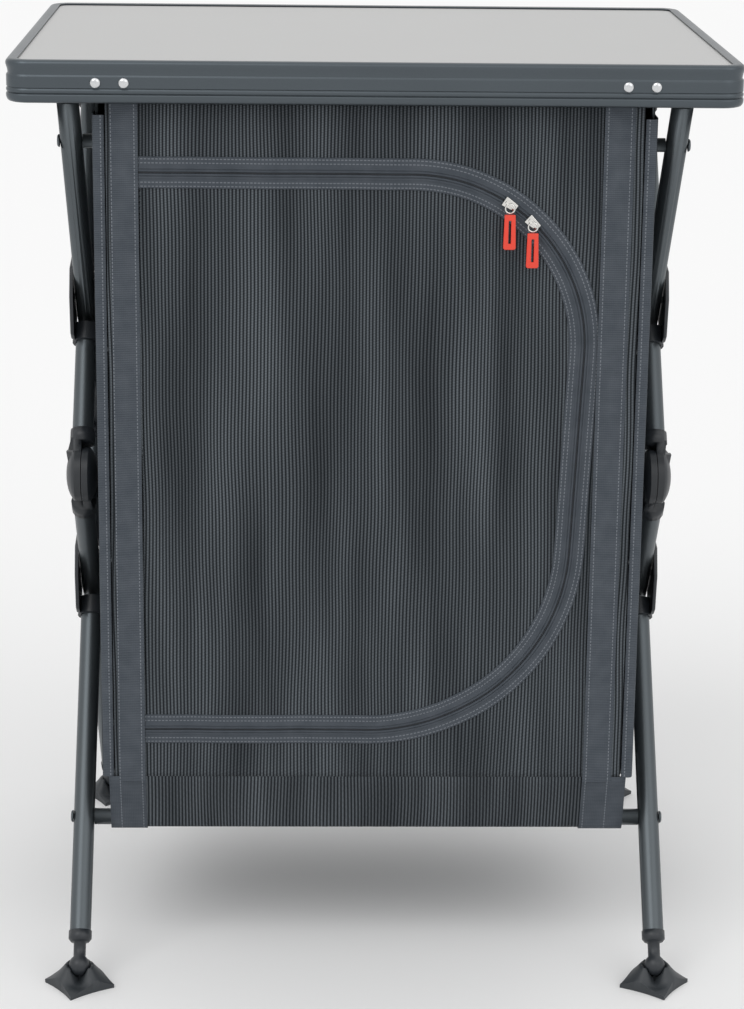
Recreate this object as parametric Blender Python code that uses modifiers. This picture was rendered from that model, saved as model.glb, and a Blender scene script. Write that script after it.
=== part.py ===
# Folding camp kitchen cupboard: a framed table top on two double scissor side frames, with a
# zipped fabric cabinet hung between them. Metres, +Z up, front towards -Y, origin on the ground
# in the middle of the whole.
import math

import bmesh
import bpy
from mathutils import Vector

# Whole piece
TABLE_WIDTH = 0.620
TABLE_DEPTH = 0.460
TABLE_HEIGHT = 0.820
FIT = 0.0003
OVERRUN = 0.004

# Table rim, a rolled aluminium profile, and its board
RIM_HEIGHT = 0.036
RIM_WALL = 0.0032
RIM_CORNER_RADIUS = 0.020
RIM_LIP = 0.010
RIM_SHEET = 0.0015
RIM_FLANGE = 0.014
BOARD_THICKNESS = 0.0100
BOARD_DROP = 0.0006
BOARD_EDGE_STEP = 0.0005

# Rails under the table
RAIL_FRAME_GAP = 0.0360
RAIL_WIDTH = 0.028
RAIL_WALL = 0.0025
RAIL_END_WALL = 0.003
RAIL_END_LENGTH = 0.0195
RIVET_SPACING = 0.0236
RIVET_DROP = 0.0185
RIVET_HEAD_RADIUS = 0.0046
RIVET_HEAD_HEIGHT = 0.0026
RIVET_SHANK_RADIUS = 0.0020

# Side frames
FRAME_HALF_SPACING = 0.2582
OPEN_ANGLE = math.radians(52.0)
TUBE_RADIUS = 0.0095
TUBE_WALL = 0.0015
PIVOT_INSET = 0.0438
PIVOT_DROP = 0.0733
HUB_FORWARD = 0.060
LONG_LINK_STEP = 0.1367
HALF_LINK_STEP = 0.1621
HUB_OFFSET = 0.0205
KNUCKLE_STEP = 0.023
TUBE_TOP_GAP = 0.0005

# Axles and bars
AXLE_RADIUS = 0.0060
BAR_RADIUS = 0.0075
BAR_ALONG = 0.2316
CROSS_PIN_RADIUS = 0.0025
CROSS_HEAD_RADIUS = 0.0055
CROSS_HEAD_HEIGHT = 0.0020
HEAD_FLAT_SHARE = 0.8

# Hubs and knuckles, moulded in black plastic
HUB_CHEEK = 0.0033
HUB_SOCKET_RADIUS = 0.0124
HUB_SOCKET_START = 0.0205
HUB_SOCKET_LENGTH = 0.0170
HUB_PIN_RADIUS = 0.0030
HUB_HEAD_RADIUS = 0.0050
HUB_HEAD_HEIGHT = 0.0012
KNUCKLE_RADIUS = 0.0240
KNUCKLE_HALF = 0.0137
KNUCKLE_CLEAR = 0.0010
COLLAR_LENGTH = 0.0125
COLLAR_FLOOR = 0.0020
KNUCKLE_PIN_RADIUS = 0.0030
KNUCKLE_HEAD_RADIUS = 0.0065
KNUCKLE_HEAD_HEIGHT = 0.0018
KNUCKLE_WEB_HEIGHT = 0.0176

# Feet
BALL_HEIGHT = 0.0195
BALL_RADIUS = 0.0095
NECK_RADIUS = 0.0055
STEM_COLLAR_RADIUS = 0.0104
STEM_COLLAR_LENGTH = 0.0100
STEM_REACH = 0.0310
STEM_PLUG_LENGTH = 0.0200
PAD_SIDE = 0.044
PAD_THICKNESS = 0.0085
PAD_BOSS_RADIUS = 0.0135
PAD_BOSS_HEIGHT = 0.0140
PAD_TURN = math.radians(35.0)
PAD_DISH_LIFT = 0.0035
PAD_ROUNDING = 0.0017

# Fabric cabinet
CLOTH = 0.0014
PANEL_FRAME_GAP = 0.0305
PANEL_AXLE_GAP = 0.0163
PANEL_BOTTOM_DROP = 0.6429
WRAP_FRAME_GAP = 0.0192
WRAP_DEPTH = 0.3300
WRAP_TOP_GAP = 0.0120
WRAP_AXLE_GAP = 0.0010
FOLD_DEPTH = 0.0012
SLING_SAG = 0.006
SLING_INSET = 0.0010
DOOR_LEFT_MARGIN = 0.0277
DOOR_RIGHT_MARGIN = 0.0451
DOOR_LOWER_TAPER = 0.0076
DOOR_TOP_DROP = 0.0957
DOOR_BOTTOM_DROP = 0.5971
DOOR_CORNER = 0.1500
DOOR_LOWER_CORNER = 0.1750
ZIP_TAPE = 0.0130
ZIP_GAP = 0.0020
TAPE_THICKNESS = 0.0010
BOARD_SHEET = 0.0040
UPPER_SHELF_DROP = 0.250
LOWER_SHELF_DROP = 0.440
SLIDER_LENGTH = 0.0130
SLIDER_WIDTH = 0.0095
SLIDER_THICKNESS = 0.0036
UPPER_SLIDER_ANGLE = math.radians(56.6)
LOWER_SLIDER_ANGLE = math.radians(47.0)
PULL_LENGTH = 0.0335
PULL_HANG = 0.0045
PULL_WIDTH = 0.0115
PULL_THICKNESS = 0.0024
PULL_SLOT_WIDTH = 0.0026
PULL_SLOT_LENGTH = 0.0200

# Mesh fineness
ROUND_STEPS = 16
SMALL_STEPS = 10
BALL_STEPS = 6
CORNER_STEPS = 4

# Outlines as shares of the sizes they follow: inward by wall thickness, down by rim height.
RIM_FACE_SHARES = [
    (0.95, 0.000), (0.25, 0.030), (0.00, 0.085), (0.06, 0.140), (0.55, 0.175), (0.55, 0.345),
    (0.15, 0.375), (0.15, 0.655), (0.50, 0.675), (0.05, 0.705), (0.05, 0.765), (0.50, 0.795),
    (0.05, 0.825), (0.05, 0.885), (0.45, 0.915), (0.60, 0.985), (1.05, 1.000),
]
HUB_OUTLINE_SHARES = [
    (0.35, 1.00), (1.00, 0.40), (1.00, 0.05), (0.35, -0.75),
    (-0.35, -1.00), (-1.00, -0.40), (-1.00, -0.05), (-0.35, 0.75),
]
FOLD_SHARES = [0.0, 0.7, -0.3, 1.0, 0.1, 0.8, -0.4, 0.9, 0.0, 0.6, 0.0]

# Places that follow from the sizes above
RAIL_CENTRE = FRAME_HALF_SPACING - RAIL_FRAME_GAP
PANEL_HALF_WIDTH = FRAME_HALF_SPACING - PANEL_FRAME_GAP
WRAP_HALF_WIDTH = FRAME_HALF_SPACING - WRAP_FRAME_GAP
SLING_HALF_WIDTH = PANEL_HALF_WIDTH - SLING_INSET
DOOR_LEFT = DOOR_LEFT_MARGIN - PANEL_HALF_WIDTH
DOOR_RIGHT = PANEL_HALF_WIDTH - DOOR_RIGHT_MARGIN
DOOR_LOWER_RIGHT = DOOR_RIGHT - DOOR_LOWER_TAPER
RIM_BOTTOM = TABLE_HEIGHT - RIM_HEIGHT
LEDGE_TOP = TABLE_HEIGHT - RIM_SHEET - BOARD_DROP - BOARD_THICKNESS - FIT
LEDGE_BOTTOM = LEDGE_TOP - RIM_SHEET
PIVOT_HEIGHT = TABLE_HEIGHT - PIVOT_DROP
LINK_OFFSET = HUB_OFFSET + KNUCKLE_STEP / 2
OPEN_COS = math.cos(OPEN_ANGLE)
OPEN_SIN = math.sin(OPEN_ANGLE)
TOP_ARM = (TABLE_DEPTH / 2 - PIVOT_INSET - HUB_FORWARD) / OPEN_COS
REAR_BAR_ALONG = BAR_ALONG + HUB_OFFSET * OPEN_COS / OPEN_SIN


def long_link(y, z):
    """World offset of a point given in the frame of a link that runs down to the rear."""
    return Vector((0.0, y * OPEN_COS + z * OPEN_SIN, -y * OPEN_SIN + z * OPEN_COS))


def half_link(y, z):
    """World offset of a point given in the frame of a link that runs down to the front."""
    return Vector((0.0, y * OPEN_COS - z * OPEN_SIN, y * OPEN_SIN + z * OPEN_COS))


LOWER_HUB_SHIFT = half_link(-HALF_LINK_STEP, -LINK_OFFSET) + long_link(LONG_LINK_STEP, -KNUCKLE_STEP / 2)
LOWER_HUB_HEIGHT = PIVOT_HEIGHT + long_link(TOP_ARM, 0.0).z + LOWER_HUB_SHIFT.z
LOWER_ARM = (LOWER_HUB_HEIGHT - HUB_OFFSET * OPEN_COS - BALL_HEIGHT) / OPEN_SIN
REAR_LEG_ARM = (LOWER_HUB_HEIGHT - BALL_HEIGHT) / OPEN_SIN
FRONT_FOOT_SHIFT = LOWER_HUB_SHIFT + half_link(-LOWER_ARM, -HUB_OFFSET)
PAD_REACH = PAD_ROUNDING + (PAD_SIDE / 2 - PAD_ROUNDING) * (math.cos(PAD_TURN) + math.sin(PAD_TURN))
FRONT_REACH = HUB_FORWARD - FRONT_FOOT_SHIFT.y + PAD_REACH
RIVET_SEAT = RIM_FACE_SHARES[6][0] * RIM_WALL - FIT
REAR_REACH = TABLE_DEPTH / 2 - RIVET_SEAT + RIVET_HEAD_HEIGHT
RIVET_SHANK = RIM_WALL + RAIL_END_WALL
TABLE_Y = (FRONT_REACH - REAR_REACH) / 2
FRONT_PIVOT = Vector((0.0, TABLE_Y - HUB_FORWARD - TOP_ARM * OPEN_COS, PIVOT_HEIGHT))
UPPER_HUB = FRONT_PIVOT + long_link(TOP_ARM, 0.0)
REAR_PIVOT = UPPER_HUB + half_link(TOP_ARM, 0.0)
FRONT_KNUCKLE = UPPER_HUB + half_link(-HALF_LINK_STEP, -LINK_OFFSET)
REAR_KNUCKLE = UPPER_HUB + long_link(LONG_LINK_STEP, -KNUCKLE_STEP / 2)
LOWER_HUB = UPPER_HUB + LOWER_HUB_SHIFT
FRONT_FOOT = LOWER_HUB + half_link(-LOWER_ARM, -HUB_OFFSET)
REAR_FOOT = LOWER_HUB + long_link(REAR_LEG_ARM, 0.0)
FRONT_BAR = LOWER_HUB + half_link(-BAR_ALONG, -HUB_OFFSET)
REAR_BAR = LOWER_HUB + long_link(REAR_BAR_ALONG, 0.0)
PANEL_Y = FRONT_PIVOT.y - AXLE_RADIUS - PANEL_AXLE_GAP - CLOTH
PANEL_TOP = TABLE_HEIGHT - RIM_HEIGHT + RIM_SHEET - FIT
PANEL_BOTTOM = TABLE_HEIGHT - PANEL_BOTTOM_DROP
DOOR_TOP = TABLE_HEIGHT - DOOR_TOP_DROP
DOOR_BOTTOM = TABLE_HEIGHT - DOOR_BOTTOM_DROP
WRAP_BACK = PANEL_Y + WRAP_DEPTH
UPPER_BEND = Vector((DOOR_RIGHT - DOOR_CORNER, 0.0, DOOR_TOP - DOOR_CORNER))
LOWER_BEND = Vector((DOOR_LOWER_RIGHT - DOOR_LOWER_CORNER, 0.0, DOOR_BOTTOM + DOOR_LOWER_CORNER))
BEND_STEP = UPPER_BEND - LOWER_BEND
DOOR_LEAN = math.asin((DOOR_LOWER_CORNER - DOOR_CORNER) / BEND_STEP.length) - math.atan2(BEND_STEP.x, BEND_STEP.z)
TUBE_TOP = RIM_BOTTOM - TUBE_TOP_GAP
TUBE_TIP = (TUBE_TOP - PIVOT_HEIGHT + TUBE_RADIUS * OPEN_COS) / OPEN_SIN + OVERRUN

PART_COLLECTION = bpy.data.collections.new("camp_kitchen_cupboard")
CUTTER_COLLECTION = bpy.data.collections.new("cutters")


def start_scene():
    for old in list(bpy.data.objects):
        bpy.data.objects.remove(old, do_unlink=True)
    bpy.context.scene.collection.children.link(PART_COLLECTION)
    bpy.context.scene.collection.children.link(CUTTER_COLLECTION)


def material(name, colour, roughness, metallic):
    made = bpy.data.materials.new(name)
    made.use_nodes = True
    shader = made.node_tree.nodes["Principled BSDF"]
    shader.inputs["Base Color"].default_value = (*colour, 1.0)
    shader.inputs["Roughness"].default_value = roughness
    shader.inputs["Metallic"].default_value = metallic
    return made


start_scene()
RIM_METAL = material("dark_rim_metal", (0.085, 0.105, 0.125), 0.38, 0.9)
TUBE_METAL = material("dark_tube_metal", (0.095, 0.115, 0.130), 0.42, 0.8)
BOARD_GREY = material("light_grey_board", (0.56, 0.56, 0.55), 0.55, 0.0)
BLACK_PLASTIC = material("black_plastic", (0.020, 0.024, 0.028), 0.45, 0.0)
STEEL = material("bright_steel", (0.62, 0.63, 0.64), 0.28, 1.0)
CLOTH_DARK = material("ribbed_mesh_cloth", (0.035, 0.043, 0.052), 0.85, 0.0)
WEBBING = material("grey_webbing", (0.080, 0.095, 0.110), 0.80, 0.0)
PULL_RED = material("red_pull", (0.75, 0.06, 0.03), 0.45, 0.0)
SHELF_GREY = material("shelf_board", (0.10, 0.11, 0.12), 0.70, 0.0)


def adopt(name, made, finish, place=(0.0, 0.0, 0.0), parent=None):
    """Links an object as a sub-part, with its finish, place and parent."""
    made.name = name
    made.data.name = name
    made.data.materials.append(finish)
    for owner in list(made.users_collection):
        owner.objects.unlink(made)
    PART_COLLECTION.objects.link(made)
    made.parent = parent
    made.location = place
    return made


def pivot(name, place, tilt=0.0):
    """An empty on a joint's axis that carries the pieces of one link."""
    empty = bpy.data.objects.new(name, None)
    empty.location = place
    empty.rotation_euler = (tilt, 0.0, 0.0)
    empty.empty_display_size = BALL_RADIUS
    PART_COLLECTION.objects.link(empty)
    return empty


def mesh_from(name, shape):
    """A mesh object from a bmesh, with its normals set outwards."""
    bmesh.ops.recalc_face_normals(shape, faces=shape.faces)
    data = bpy.data.meshes.new(name)
    shape.to_mesh(data)
    shape.free()
    return bpy.data.objects.new(name, data)


def turned(profile, steps, closed=False):
    """A turned shape about local Z, from (radius, height) points that run down its outer side."""
    shape = bmesh.new()
    points = [shape.verts.new((radius, 0.0, height)) for radius, height in profile]
    pairs = list(zip(points, points[1:]))
    if closed:
        pairs.append((points[-1], points[0]))
    for start, end in pairs:
        shape.edges.new((start, end))
    data = bpy.data.meshes.new("turned")
    shape.to_mesh(data)
    shape.free()
    made = bpy.data.objects.new("turned", data)
    screw = made.modifiers.new("turn", "SCREW")
    screw.axis = "Z"
    screw.steps = steps
    screw.render_steps = steps
    screw.use_merge_vertices = True
    screw.merge_threshold = FIT / 10
    screw.use_smooth_shade = True
    return made


def cylinder(radius, length, steps=ROUND_STEPS):
    shape = bmesh.new()
    bmesh.ops.create_cone(shape, cap_ends=True, segments=steps, radius1=radius, radius2=radius, depth=length)
    return mesh_from("cylinder", shape)


def block(size_x, size_y, size_z):
    shape = bmesh.new()
    bmesh.ops.create_cube(shape, size=1.0)
    bmesh.ops.scale(shape, vec=(size_x, size_y, size_z), verts=shape.verts)
    return mesh_from("block", shape)


def flat_outline(points, thickness):
    """A plate from an outline in the YZ plane, centred on X = 0."""
    shape = bmesh.new()
    ring = [shape.verts.new((-thickness / 2, y, z)) for y, z in points]
    face = shape.faces.new(ring)
    grown = bmesh.ops.extrude_face_region(shape, geom=[face])
    moved = [item for item in grown["geom"] if isinstance(item, bmesh.types.BMVert)]
    bmesh.ops.translate(shape, vec=(thickness, 0.0, 0.0), verts=moved)
    return mesh_from("plate", shape)


def rounded(made, width, segments=2):
    bevel = made.modifiers.new("rounding", "BEVEL")
    bevel.width = width
    bevel.segments = segments
    bevel.limit_method = "ANGLE"
    bevel.angle_limit = math.radians(40.0)
    return made


def smooth(made):
    made.data.shade_smooth()
    made.data.set_sharp_from_angle(angle=math.radians(40.0))
    return made


def helper(name, made, place=(0.0, 0.0, 0.0), turn=(0.0, 0.0, 0.0), parent=None):
    """Puts a cutter, or a shape to join, in its own collection, out of the part."""
    made.name = name
    made.hide_render = True
    made.display_type = "WIRE"
    for owner in list(made.users_collection):
        owner.objects.unlink(made)
    CUTTER_COLLECTION.objects.link(made)
    made.parent = parent
    made.location = place
    made.rotation_euler = turn
    return made


def combine(made, other, operation):
    boolean = made.modifiers.new(operation.lower(), "BOOLEAN")
    boolean.object = other
    boolean.operation = operation
    boolean.solver = "EXACT"
    return made


ALONG_X = (0.0, math.pi / 2, 0.0)
ALONG_Y = (math.pi / 2, 0.0, 0.0)
SIDES = (("left", -1.0), ("right", 1.0))


def rim_profile():
    """The rim's section as (inward, up) points from the table's outer edge and its bottom."""
    face = [(share_in * RIM_WALL, RIM_HEIGHT * (1.0 - share_down)) for share_in, share_down in RIM_FACE_SHARES]
    ledge_top = LEDGE_TOP - RIM_BOTTOM
    ledge_bottom = LEDGE_BOTTOM - RIM_BOTTOM
    inside = [
        (RIM_FLANGE, 0.0), (RIM_FLANGE, RIM_SHEET), (RIM_WALL, RIM_SHEET), (RIM_WALL, ledge_bottom),
        (RIM_FLANGE, ledge_bottom), (RIM_FLANGE, ledge_top), (RIM_WALL, ledge_top),
        (RIM_WALL, RIM_HEIGHT - RIM_SHEET), (RIM_LIP, RIM_HEIGHT - RIM_SHEET), (RIM_LIP, RIM_HEIGHT),
    ]
    return face + inside


def rounded_rectangle(width, depth, radius, steps):
    """Corner points of a rounded rectangle in plan, anticlockwise."""
    points = []
    for quarter, (side_x, side_y) in enumerate(((1, -1), (1, 1), (-1, 1), (-1, -1))):
        centre_x = side_x * (width / 2 - radius)
        centre_y = side_y * (depth / 2 - radius)
        for step in range(steps + 1):
            angle = math.radians(90.0) * (quarter - 1 + step / steps)
            points.append((centre_x + radius * math.cos(angle), centre_y + radius * math.sin(angle)))
    return points


def make_table_rim():
    """The rim: one section carried round the table, each ring set in from the outer edge."""
    shape = bmesh.new()
    rings = []
    for inward, up in rim_profile():
        radius = RIM_CORNER_RADIUS - inward
        plan = rounded_rectangle(TABLE_WIDTH - 2 * inward, TABLE_DEPTH - 2 * inward, radius, CORNER_STEPS)
        rings.append([shape.verts.new((x, y, up)) for x, y in plan])
    for upper, lower in zip(rings, rings[1:] + rings[:1]):
        for first in range(len(upper)):
            second = (first + 1) % len(upper)
            shape.faces.new((upper[first], upper[second], lower[second], lower[first]))
    rim = adopt("table_rim", mesh_from("table_rim", shape), RIM_METAL, (0.0, TABLE_Y, RIM_BOTTOM))
    smooth(rim)
    for hole in rivet_holes():
        combine(rim, hole, "DIFFERENCE")
    return rim


def rivet_places():
    """X of the four rivets along each rim."""
    return [side * RAIL_CENTRE + step * RIVET_SPACING / 2 for _, side in SIDES for step in (-1, 1)]


def rivet_holes():
    holes = []
    for number, x in enumerate(rivet_places()):
        bore = cylinder(RIVET_SHANK_RADIUS + FIT, TABLE_DEPTH + 2 * OVERRUN, SMALL_STEPS)
        place = (x, TABLE_Y, TABLE_HEIGHT - RIVET_DROP)
        holes.append(helper("rivet_hole_%d" % (number + 1), bore, place, ALONG_Y))
    return holes


def make_table_board():
    edge = RIM_WALL + FIT
    plan = rounded_rectangle(TABLE_WIDTH - 2 * edge, TABLE_DEPTH - 2 * edge, RIM_CORNER_RADIUS - edge, CORNER_STEPS)
    shape = bmesh.new()
    face = shape.faces.new([shape.verts.new((x, y, 0.0)) for x, y in plan])
    grown = bmesh.ops.extrude_face_region(shape, geom=[face])
    moved = [item for item in grown["geom"] if isinstance(item, bmesh.types.BMVert)]
    bmesh.ops.translate(shape, vec=(0.0, 0.0, BOARD_THICKNESS - BOARD_EDGE_STEP), verts=moved)
    upper = [item for item in grown["geom"] if isinstance(item, bmesh.types.BMFace)]
    bmesh.ops.inset_region(shape, faces=upper, thickness=RIM_LIP - RIM_WALL + FIT, depth=BOARD_EDGE_STEP)
    adopt("table_board", mesh_from("board", shape), BOARD_GREY, (0.0, TABLE_Y, LEDGE_TOP + FIT))


def rivet_profile(shank):
    """A domed rivet: head above Z = 0, shank below it."""
    dome = []
    for step in range(5):
        angle = math.radians(90.0) * step / 4
        dome.append((RIVET_HEAD_RADIUS * math.sin(angle), RIVET_HEAD_HEIGHT * math.cos(angle)))
    return dome + [(RIVET_SHANK_RADIUS, 0.0), (RIVET_SHANK_RADIUS, -shank), (0.0, -shank)]


def make_front_rivets():
    face_y = TABLE_Y - TABLE_DEPTH / 2 + RIVET_SEAT
    for number, x in enumerate(rivet_places()):
        rivet = turned(rivet_profile(RIVET_SHANK), SMALL_STEPS)
        adopt("front_rivet_%d" % (number + 1), rivet, STEEL, (x, face_y, TABLE_HEIGHT - RIVET_DROP))
        rivet.rotation_euler = ALONG_Y


def make_rails():
    """A channel under each side of the table: the front axle turns in its eye, the rear one slides below it."""
    reach = TABLE_DEPTH / 2 - RIM_WALL - FIT
    shallow = RIM_BOTTOM + RIM_SHEET + FIT
    deep = PIVOT_HEIGHT + AXLE_RADIUS + FIT
    top = LEDGE_BOTTOM - FIT
    inner = reach - RAIL_END_LENGTH
    rear = reach + RIM_WALL - RIM_FLANGE
    eye_y = FRONT_PIVOT.y - TABLE_Y
    eye_reach = AXLE_RADIUS + RAIL_WALL
    eye_bottom = PIVOT_HEIGHT - eye_reach
    outline = [
        (-reach, top), (-reach, shallow), (-inner, shallow), (-inner, deep), (eye_y - eye_reach, deep),
        (eye_y - eye_reach, eye_bottom), (eye_y + eye_reach, eye_bottom), (eye_y + eye_reach, deep),
        (rear, deep), (rear, shallow), (reach, shallow), (reach, top),
    ]
    for side_name, side in SIDES:
        rail = flat_outline(outline, RAIL_WIDTH)
        adopt(side_name + "_rail", rail, TUBE_METAL, (side * RAIL_CENTRE, TABLE_Y, 0.0))
        room_bottom = eye_bottom - OVERRUN
        room_top = top - RAIL_WALL
        room = block(RAIL_WIDTH - 2 * RAIL_WALL, 2 * (reach - RAIL_END_WALL), room_top - room_bottom)
        place = (side * RAIL_CENTRE, TABLE_Y, (room_top + room_bottom) / 2)
        combine(rail, helper(side_name + "_rail_room", room, place), "DIFFERENCE")
        eye = cylinder(AXLE_RADIUS + FIT, RAIL_WIDTH + 2 * OVERRUN)
        place = (side * RAIL_CENTRE, FRONT_PIVOT.y, PIVOT_HEIGHT)
        combine(rail, helper(side_name + "_rail_eye", eye, place, ALONG_X), "DIFFERENCE")
        for number, step in enumerate((-1, 1)):
            x = side * RAIL_CENTRE + step * RIVET_SPACING / 2
            z = TABLE_HEIGHT - RIVET_DROP
            bore = cylinder(RIVET_SHANK_RADIUS + FIT, 2 * RAIL_END_LENGTH, SMALL_STEPS)
            name = "%s_rail_rivet_hole_%d" % (side_name, number + 1)
            combine(rail, helper(name, bore, (x, TABLE_Y - reach, z), ALONG_Y), "DIFFERENCE")
            rivet = turned(rivet_profile(RIVET_SHANK), SMALL_STEPS)
            name = "%s_rail_rear_rivet_%d" % (side_name, number + 1)
            place = (x, TABLE_Y + TABLE_DEPTH / 2 - RIVET_SEAT, z)
            combine(rail, helper(name, rivet, place, (-math.pi / 2, 0.0, 0.0)), "UNION")


def cross_piece(name, finish, radius, place, parent):
    """A bar or axle across the frame, with a pin through the tube at each end."""
    inner = FRAME_HALF_SPACING - TUBE_RADIUS - FIT
    outer = FRAME_HALF_SPACING + TUBE_RADIUS + FIT
    tip = outer + CROSS_HEAD_HEIGHT
    half = [
        (0.0, tip), (CROSS_HEAD_RADIUS * HEAD_FLAT_SHARE, tip), (CROSS_HEAD_RADIUS, outer + CROSS_HEAD_HEIGHT / 2),
        (CROSS_HEAD_RADIUS, outer), (CROSS_PIN_RADIUS, outer), (CROSS_PIN_RADIUS, inner), (radius, inner),
    ]
    other = [(size, -height) for size, height in reversed(half)]
    made = adopt(name, turned(half + other, ROUND_STEPS), finish, place, parent)
    made.rotation_euler = ALONG_X
    return made


def tube(name, side, start, end, height, parent, holes):
    """A hollow leg tube along local Y of its link, with cross holes at the places given."""
    length = end - start
    bore = TUBE_RADIUS - TUBE_WALL
    profile = [(TUBE_RADIUS, length / 2), (TUBE_RADIUS, -length / 2), (bore, -length / 2), (bore, length / 2)]
    made = turned(profile, ROUND_STEPS, closed=True)
    x = side * FRAME_HALF_SPACING
    adopt(name, made, TUBE_METAL, (x, (start + end) / 2, height), parent)
    made.rotation_euler = ALONG_Y
    for number, (along, radius) in enumerate(holes):
        drill = cylinder(radius + FIT, 4 * TUBE_RADIUS, SMALL_STEPS)
        cutter = helper("%s_hole_%d" % (name, number + 1), drill, (x, along, height), ALONG_X, parent)
        combine(made, cutter, "DIFFERENCE")
    return made


def trim_top(made, side):
    """Cuts the top of a long tube level, to end just under the table's rim."""
    size = 2 * TUBE_TIP
    trim = block(size, 2 * size, size)
    place = (side * FRAME_HALF_SPACING, FRONT_PIVOT.y, TUBE_TOP + size / 2)
    combine(made, helper(made.name + "_trim", trim, place), "DIFFERENCE")


def make_hub(name, side, place_y, place_z, parent):
    """A moulded hub: two cheeks astride the long tube, a socket for each half tube, and its pin."""
    x = side * FRAME_HALF_SPACING
    inner_face = TUBE_RADIUS + FIT
    reach_y = HUB_SOCKET_START + HUB_SOCKET_LENGTH
    reach_z = HUB_OFFSET + HUB_SOCKET_RADIUS
    outline = [(share_y * reach_y, share_z * reach_z) for share_y, share_z in HUB_OUTLINE_SHARES]
    hub = flat_outline(outline, 2 * (inner_face + HUB_CHEEK))
    rounded(hub, HUB_CHEEK / 2)
    adopt(name, hub, BLACK_PLASTIC, (x, place_y, place_z), parent)
    slot = block(2 * inner_face, 4 * reach_y, 4 * reach_z)
    combine(hub, helper(name + "_slot", slot, (x, place_y, place_z), parent=parent), "DIFFERENCE")
    for along, step in (("front", -1.0), ("rear", 1.0)):
        centre_y = place_y + step * (HUB_SOCKET_START + HUB_SOCKET_LENGTH / 2)
        centre_z = place_z + step * HUB_OFFSET
        socket = cylinder(HUB_SOCKET_RADIUS, HUB_SOCKET_LENGTH)
        joined = helper("%s_%s_socket" % (name, along), socket, (x, centre_y, centre_z), ALONG_Y, parent)
        combine(hub, joined, "UNION")
        drill = cylinder(TUBE_RADIUS + FIT, HUB_SOCKET_LENGTH)
        start_y = centre_y + step * COLLAR_FLOOR
        cutter = helper("%s_%s_bore" % (name, along), drill, (x, start_y, centre_z), ALONG_Y, parent)
        combine(hub, cutter, "DIFFERENCE")
    outer = inner_face + HUB_CHEEK + HUB_HEAD_HEIGHT
    half = [
        (0.0, outer), (HUB_HEAD_RADIUS * HEAD_FLAT_SHARE, outer), (HUB_HEAD_RADIUS, outer - HUB_HEAD_HEIGHT / 2),
        (HUB_HEAD_RADIUS, inner_face + HUB_CHEEK / 2), (HUB_PIN_RADIUS, inner_face + HUB_CHEEK / 2),
    ]
    other = [(size, -height) for size, height in reversed(half)]
    pin = helper(name + "_pin", turned(half + other, SMALL_STEPS), (x, place_y, place_z), ALONG_X, parent)
    combine(hub, pin, "UNION")
    return hub


def make_knuckle_half(name, side, layer, tube_side, offset, place_y, place_z, parent):
    """One half of a knuckle: a disc on one side of the frame's plane, and the collar of its tube.

    layer is -1 for the inner half and 1 for the outer one, tube_side the way along Y to the tube,
    and offset the tube's height from the pivot.
    """
    x = side * FRAME_HALF_SPACING
    disc_x = x + side * layer * (FIT + KNUCKLE_HALF / 2)
    half = KNUCKLE_HALF / 2
    soft = KNUCKLE_HALF / 6
    profile = [
        (0.0, half), (KNUCKLE_RADIUS - soft, half), (KNUCKLE_RADIUS, half - soft),
        (KNUCKLE_RADIUS, -half), (0.0, -half),
    ]
    disc = turned(profile, ROUND_STEPS)
    adopt(name, disc, BLACK_PLASTIC, (disc_x, place_y, place_z), parent)
    disc.rotation_euler = (0.0, side * layer * math.pi / 2, 0.0)
    collar_radius = KNUCKLE_STEP / 2 - FIT
    start = KNUCKLE_RADIUS + KNUCKLE_CLEAR
    web_end = start + COLLAR_FLOOR
    web = block(KNUCKLE_HALF - FIT, web_end, KNUCKLE_WEB_HEIGHT)
    web_place = (disc_x, place_y + tube_side * web_end / 2, place_z + offset)
    combine(disc, helper(name + "_web", web, web_place, parent=parent), "UNION")
    centre_y = place_y + tube_side * (start + COLLAR_LENGTH / 2)
    collar = cylinder(collar_radius, COLLAR_LENGTH)
    joined = helper(name + "_collar", collar, (x, centre_y, place_z + offset), ALONG_Y, parent)
    combine(disc, joined, "UNION")
    drill = cylinder(TUBE_RADIUS + FIT / 2, COLLAR_LENGTH)
    bore_y = centre_y + tube_side * COLLAR_FLOOR
    combine(disc, helper(name + "_bore", drill, (x, bore_y, place_z + offset), ALONG_Y, parent), "DIFFERENCE")
    if layer > 0:
        head = FIT + KNUCKLE_HALF + FIT
        pin_profile = [
            (0.0, half), (KNUCKLE_PIN_RADIUS, half), (KNUCKLE_PIN_RADIUS, -head), (KNUCKLE_HEAD_RADIUS, -head),
            (KNUCKLE_HEAD_RADIUS, -head - KNUCKLE_HEAD_HEIGHT / 2),
            (KNUCKLE_HEAD_RADIUS * HEAD_FLAT_SHARE, -head - KNUCKLE_HEAD_HEIGHT), (0.0, -head - KNUCKLE_HEAD_HEIGHT),
        ]
        pin = helper(name + "_pin", turned(pin_profile, SMALL_STEPS), (x, place_y, place_z), parent=parent)
        pin.rotation_euler = (0.0, side * math.pi / 2, 0.0)
        combine(disc, pin, "UNION")
    else:
        drill = cylinder(KNUCKLE_PIN_RADIUS + FIT, 4 * KNUCKLE_HALF, SMALL_STEPS)
        cutter = helper(name + "_pin_bore", drill, (x, place_y, place_z), ALONG_X, parent)
        combine(disc, cutter, "DIFFERENCE")
    return disc


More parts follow.
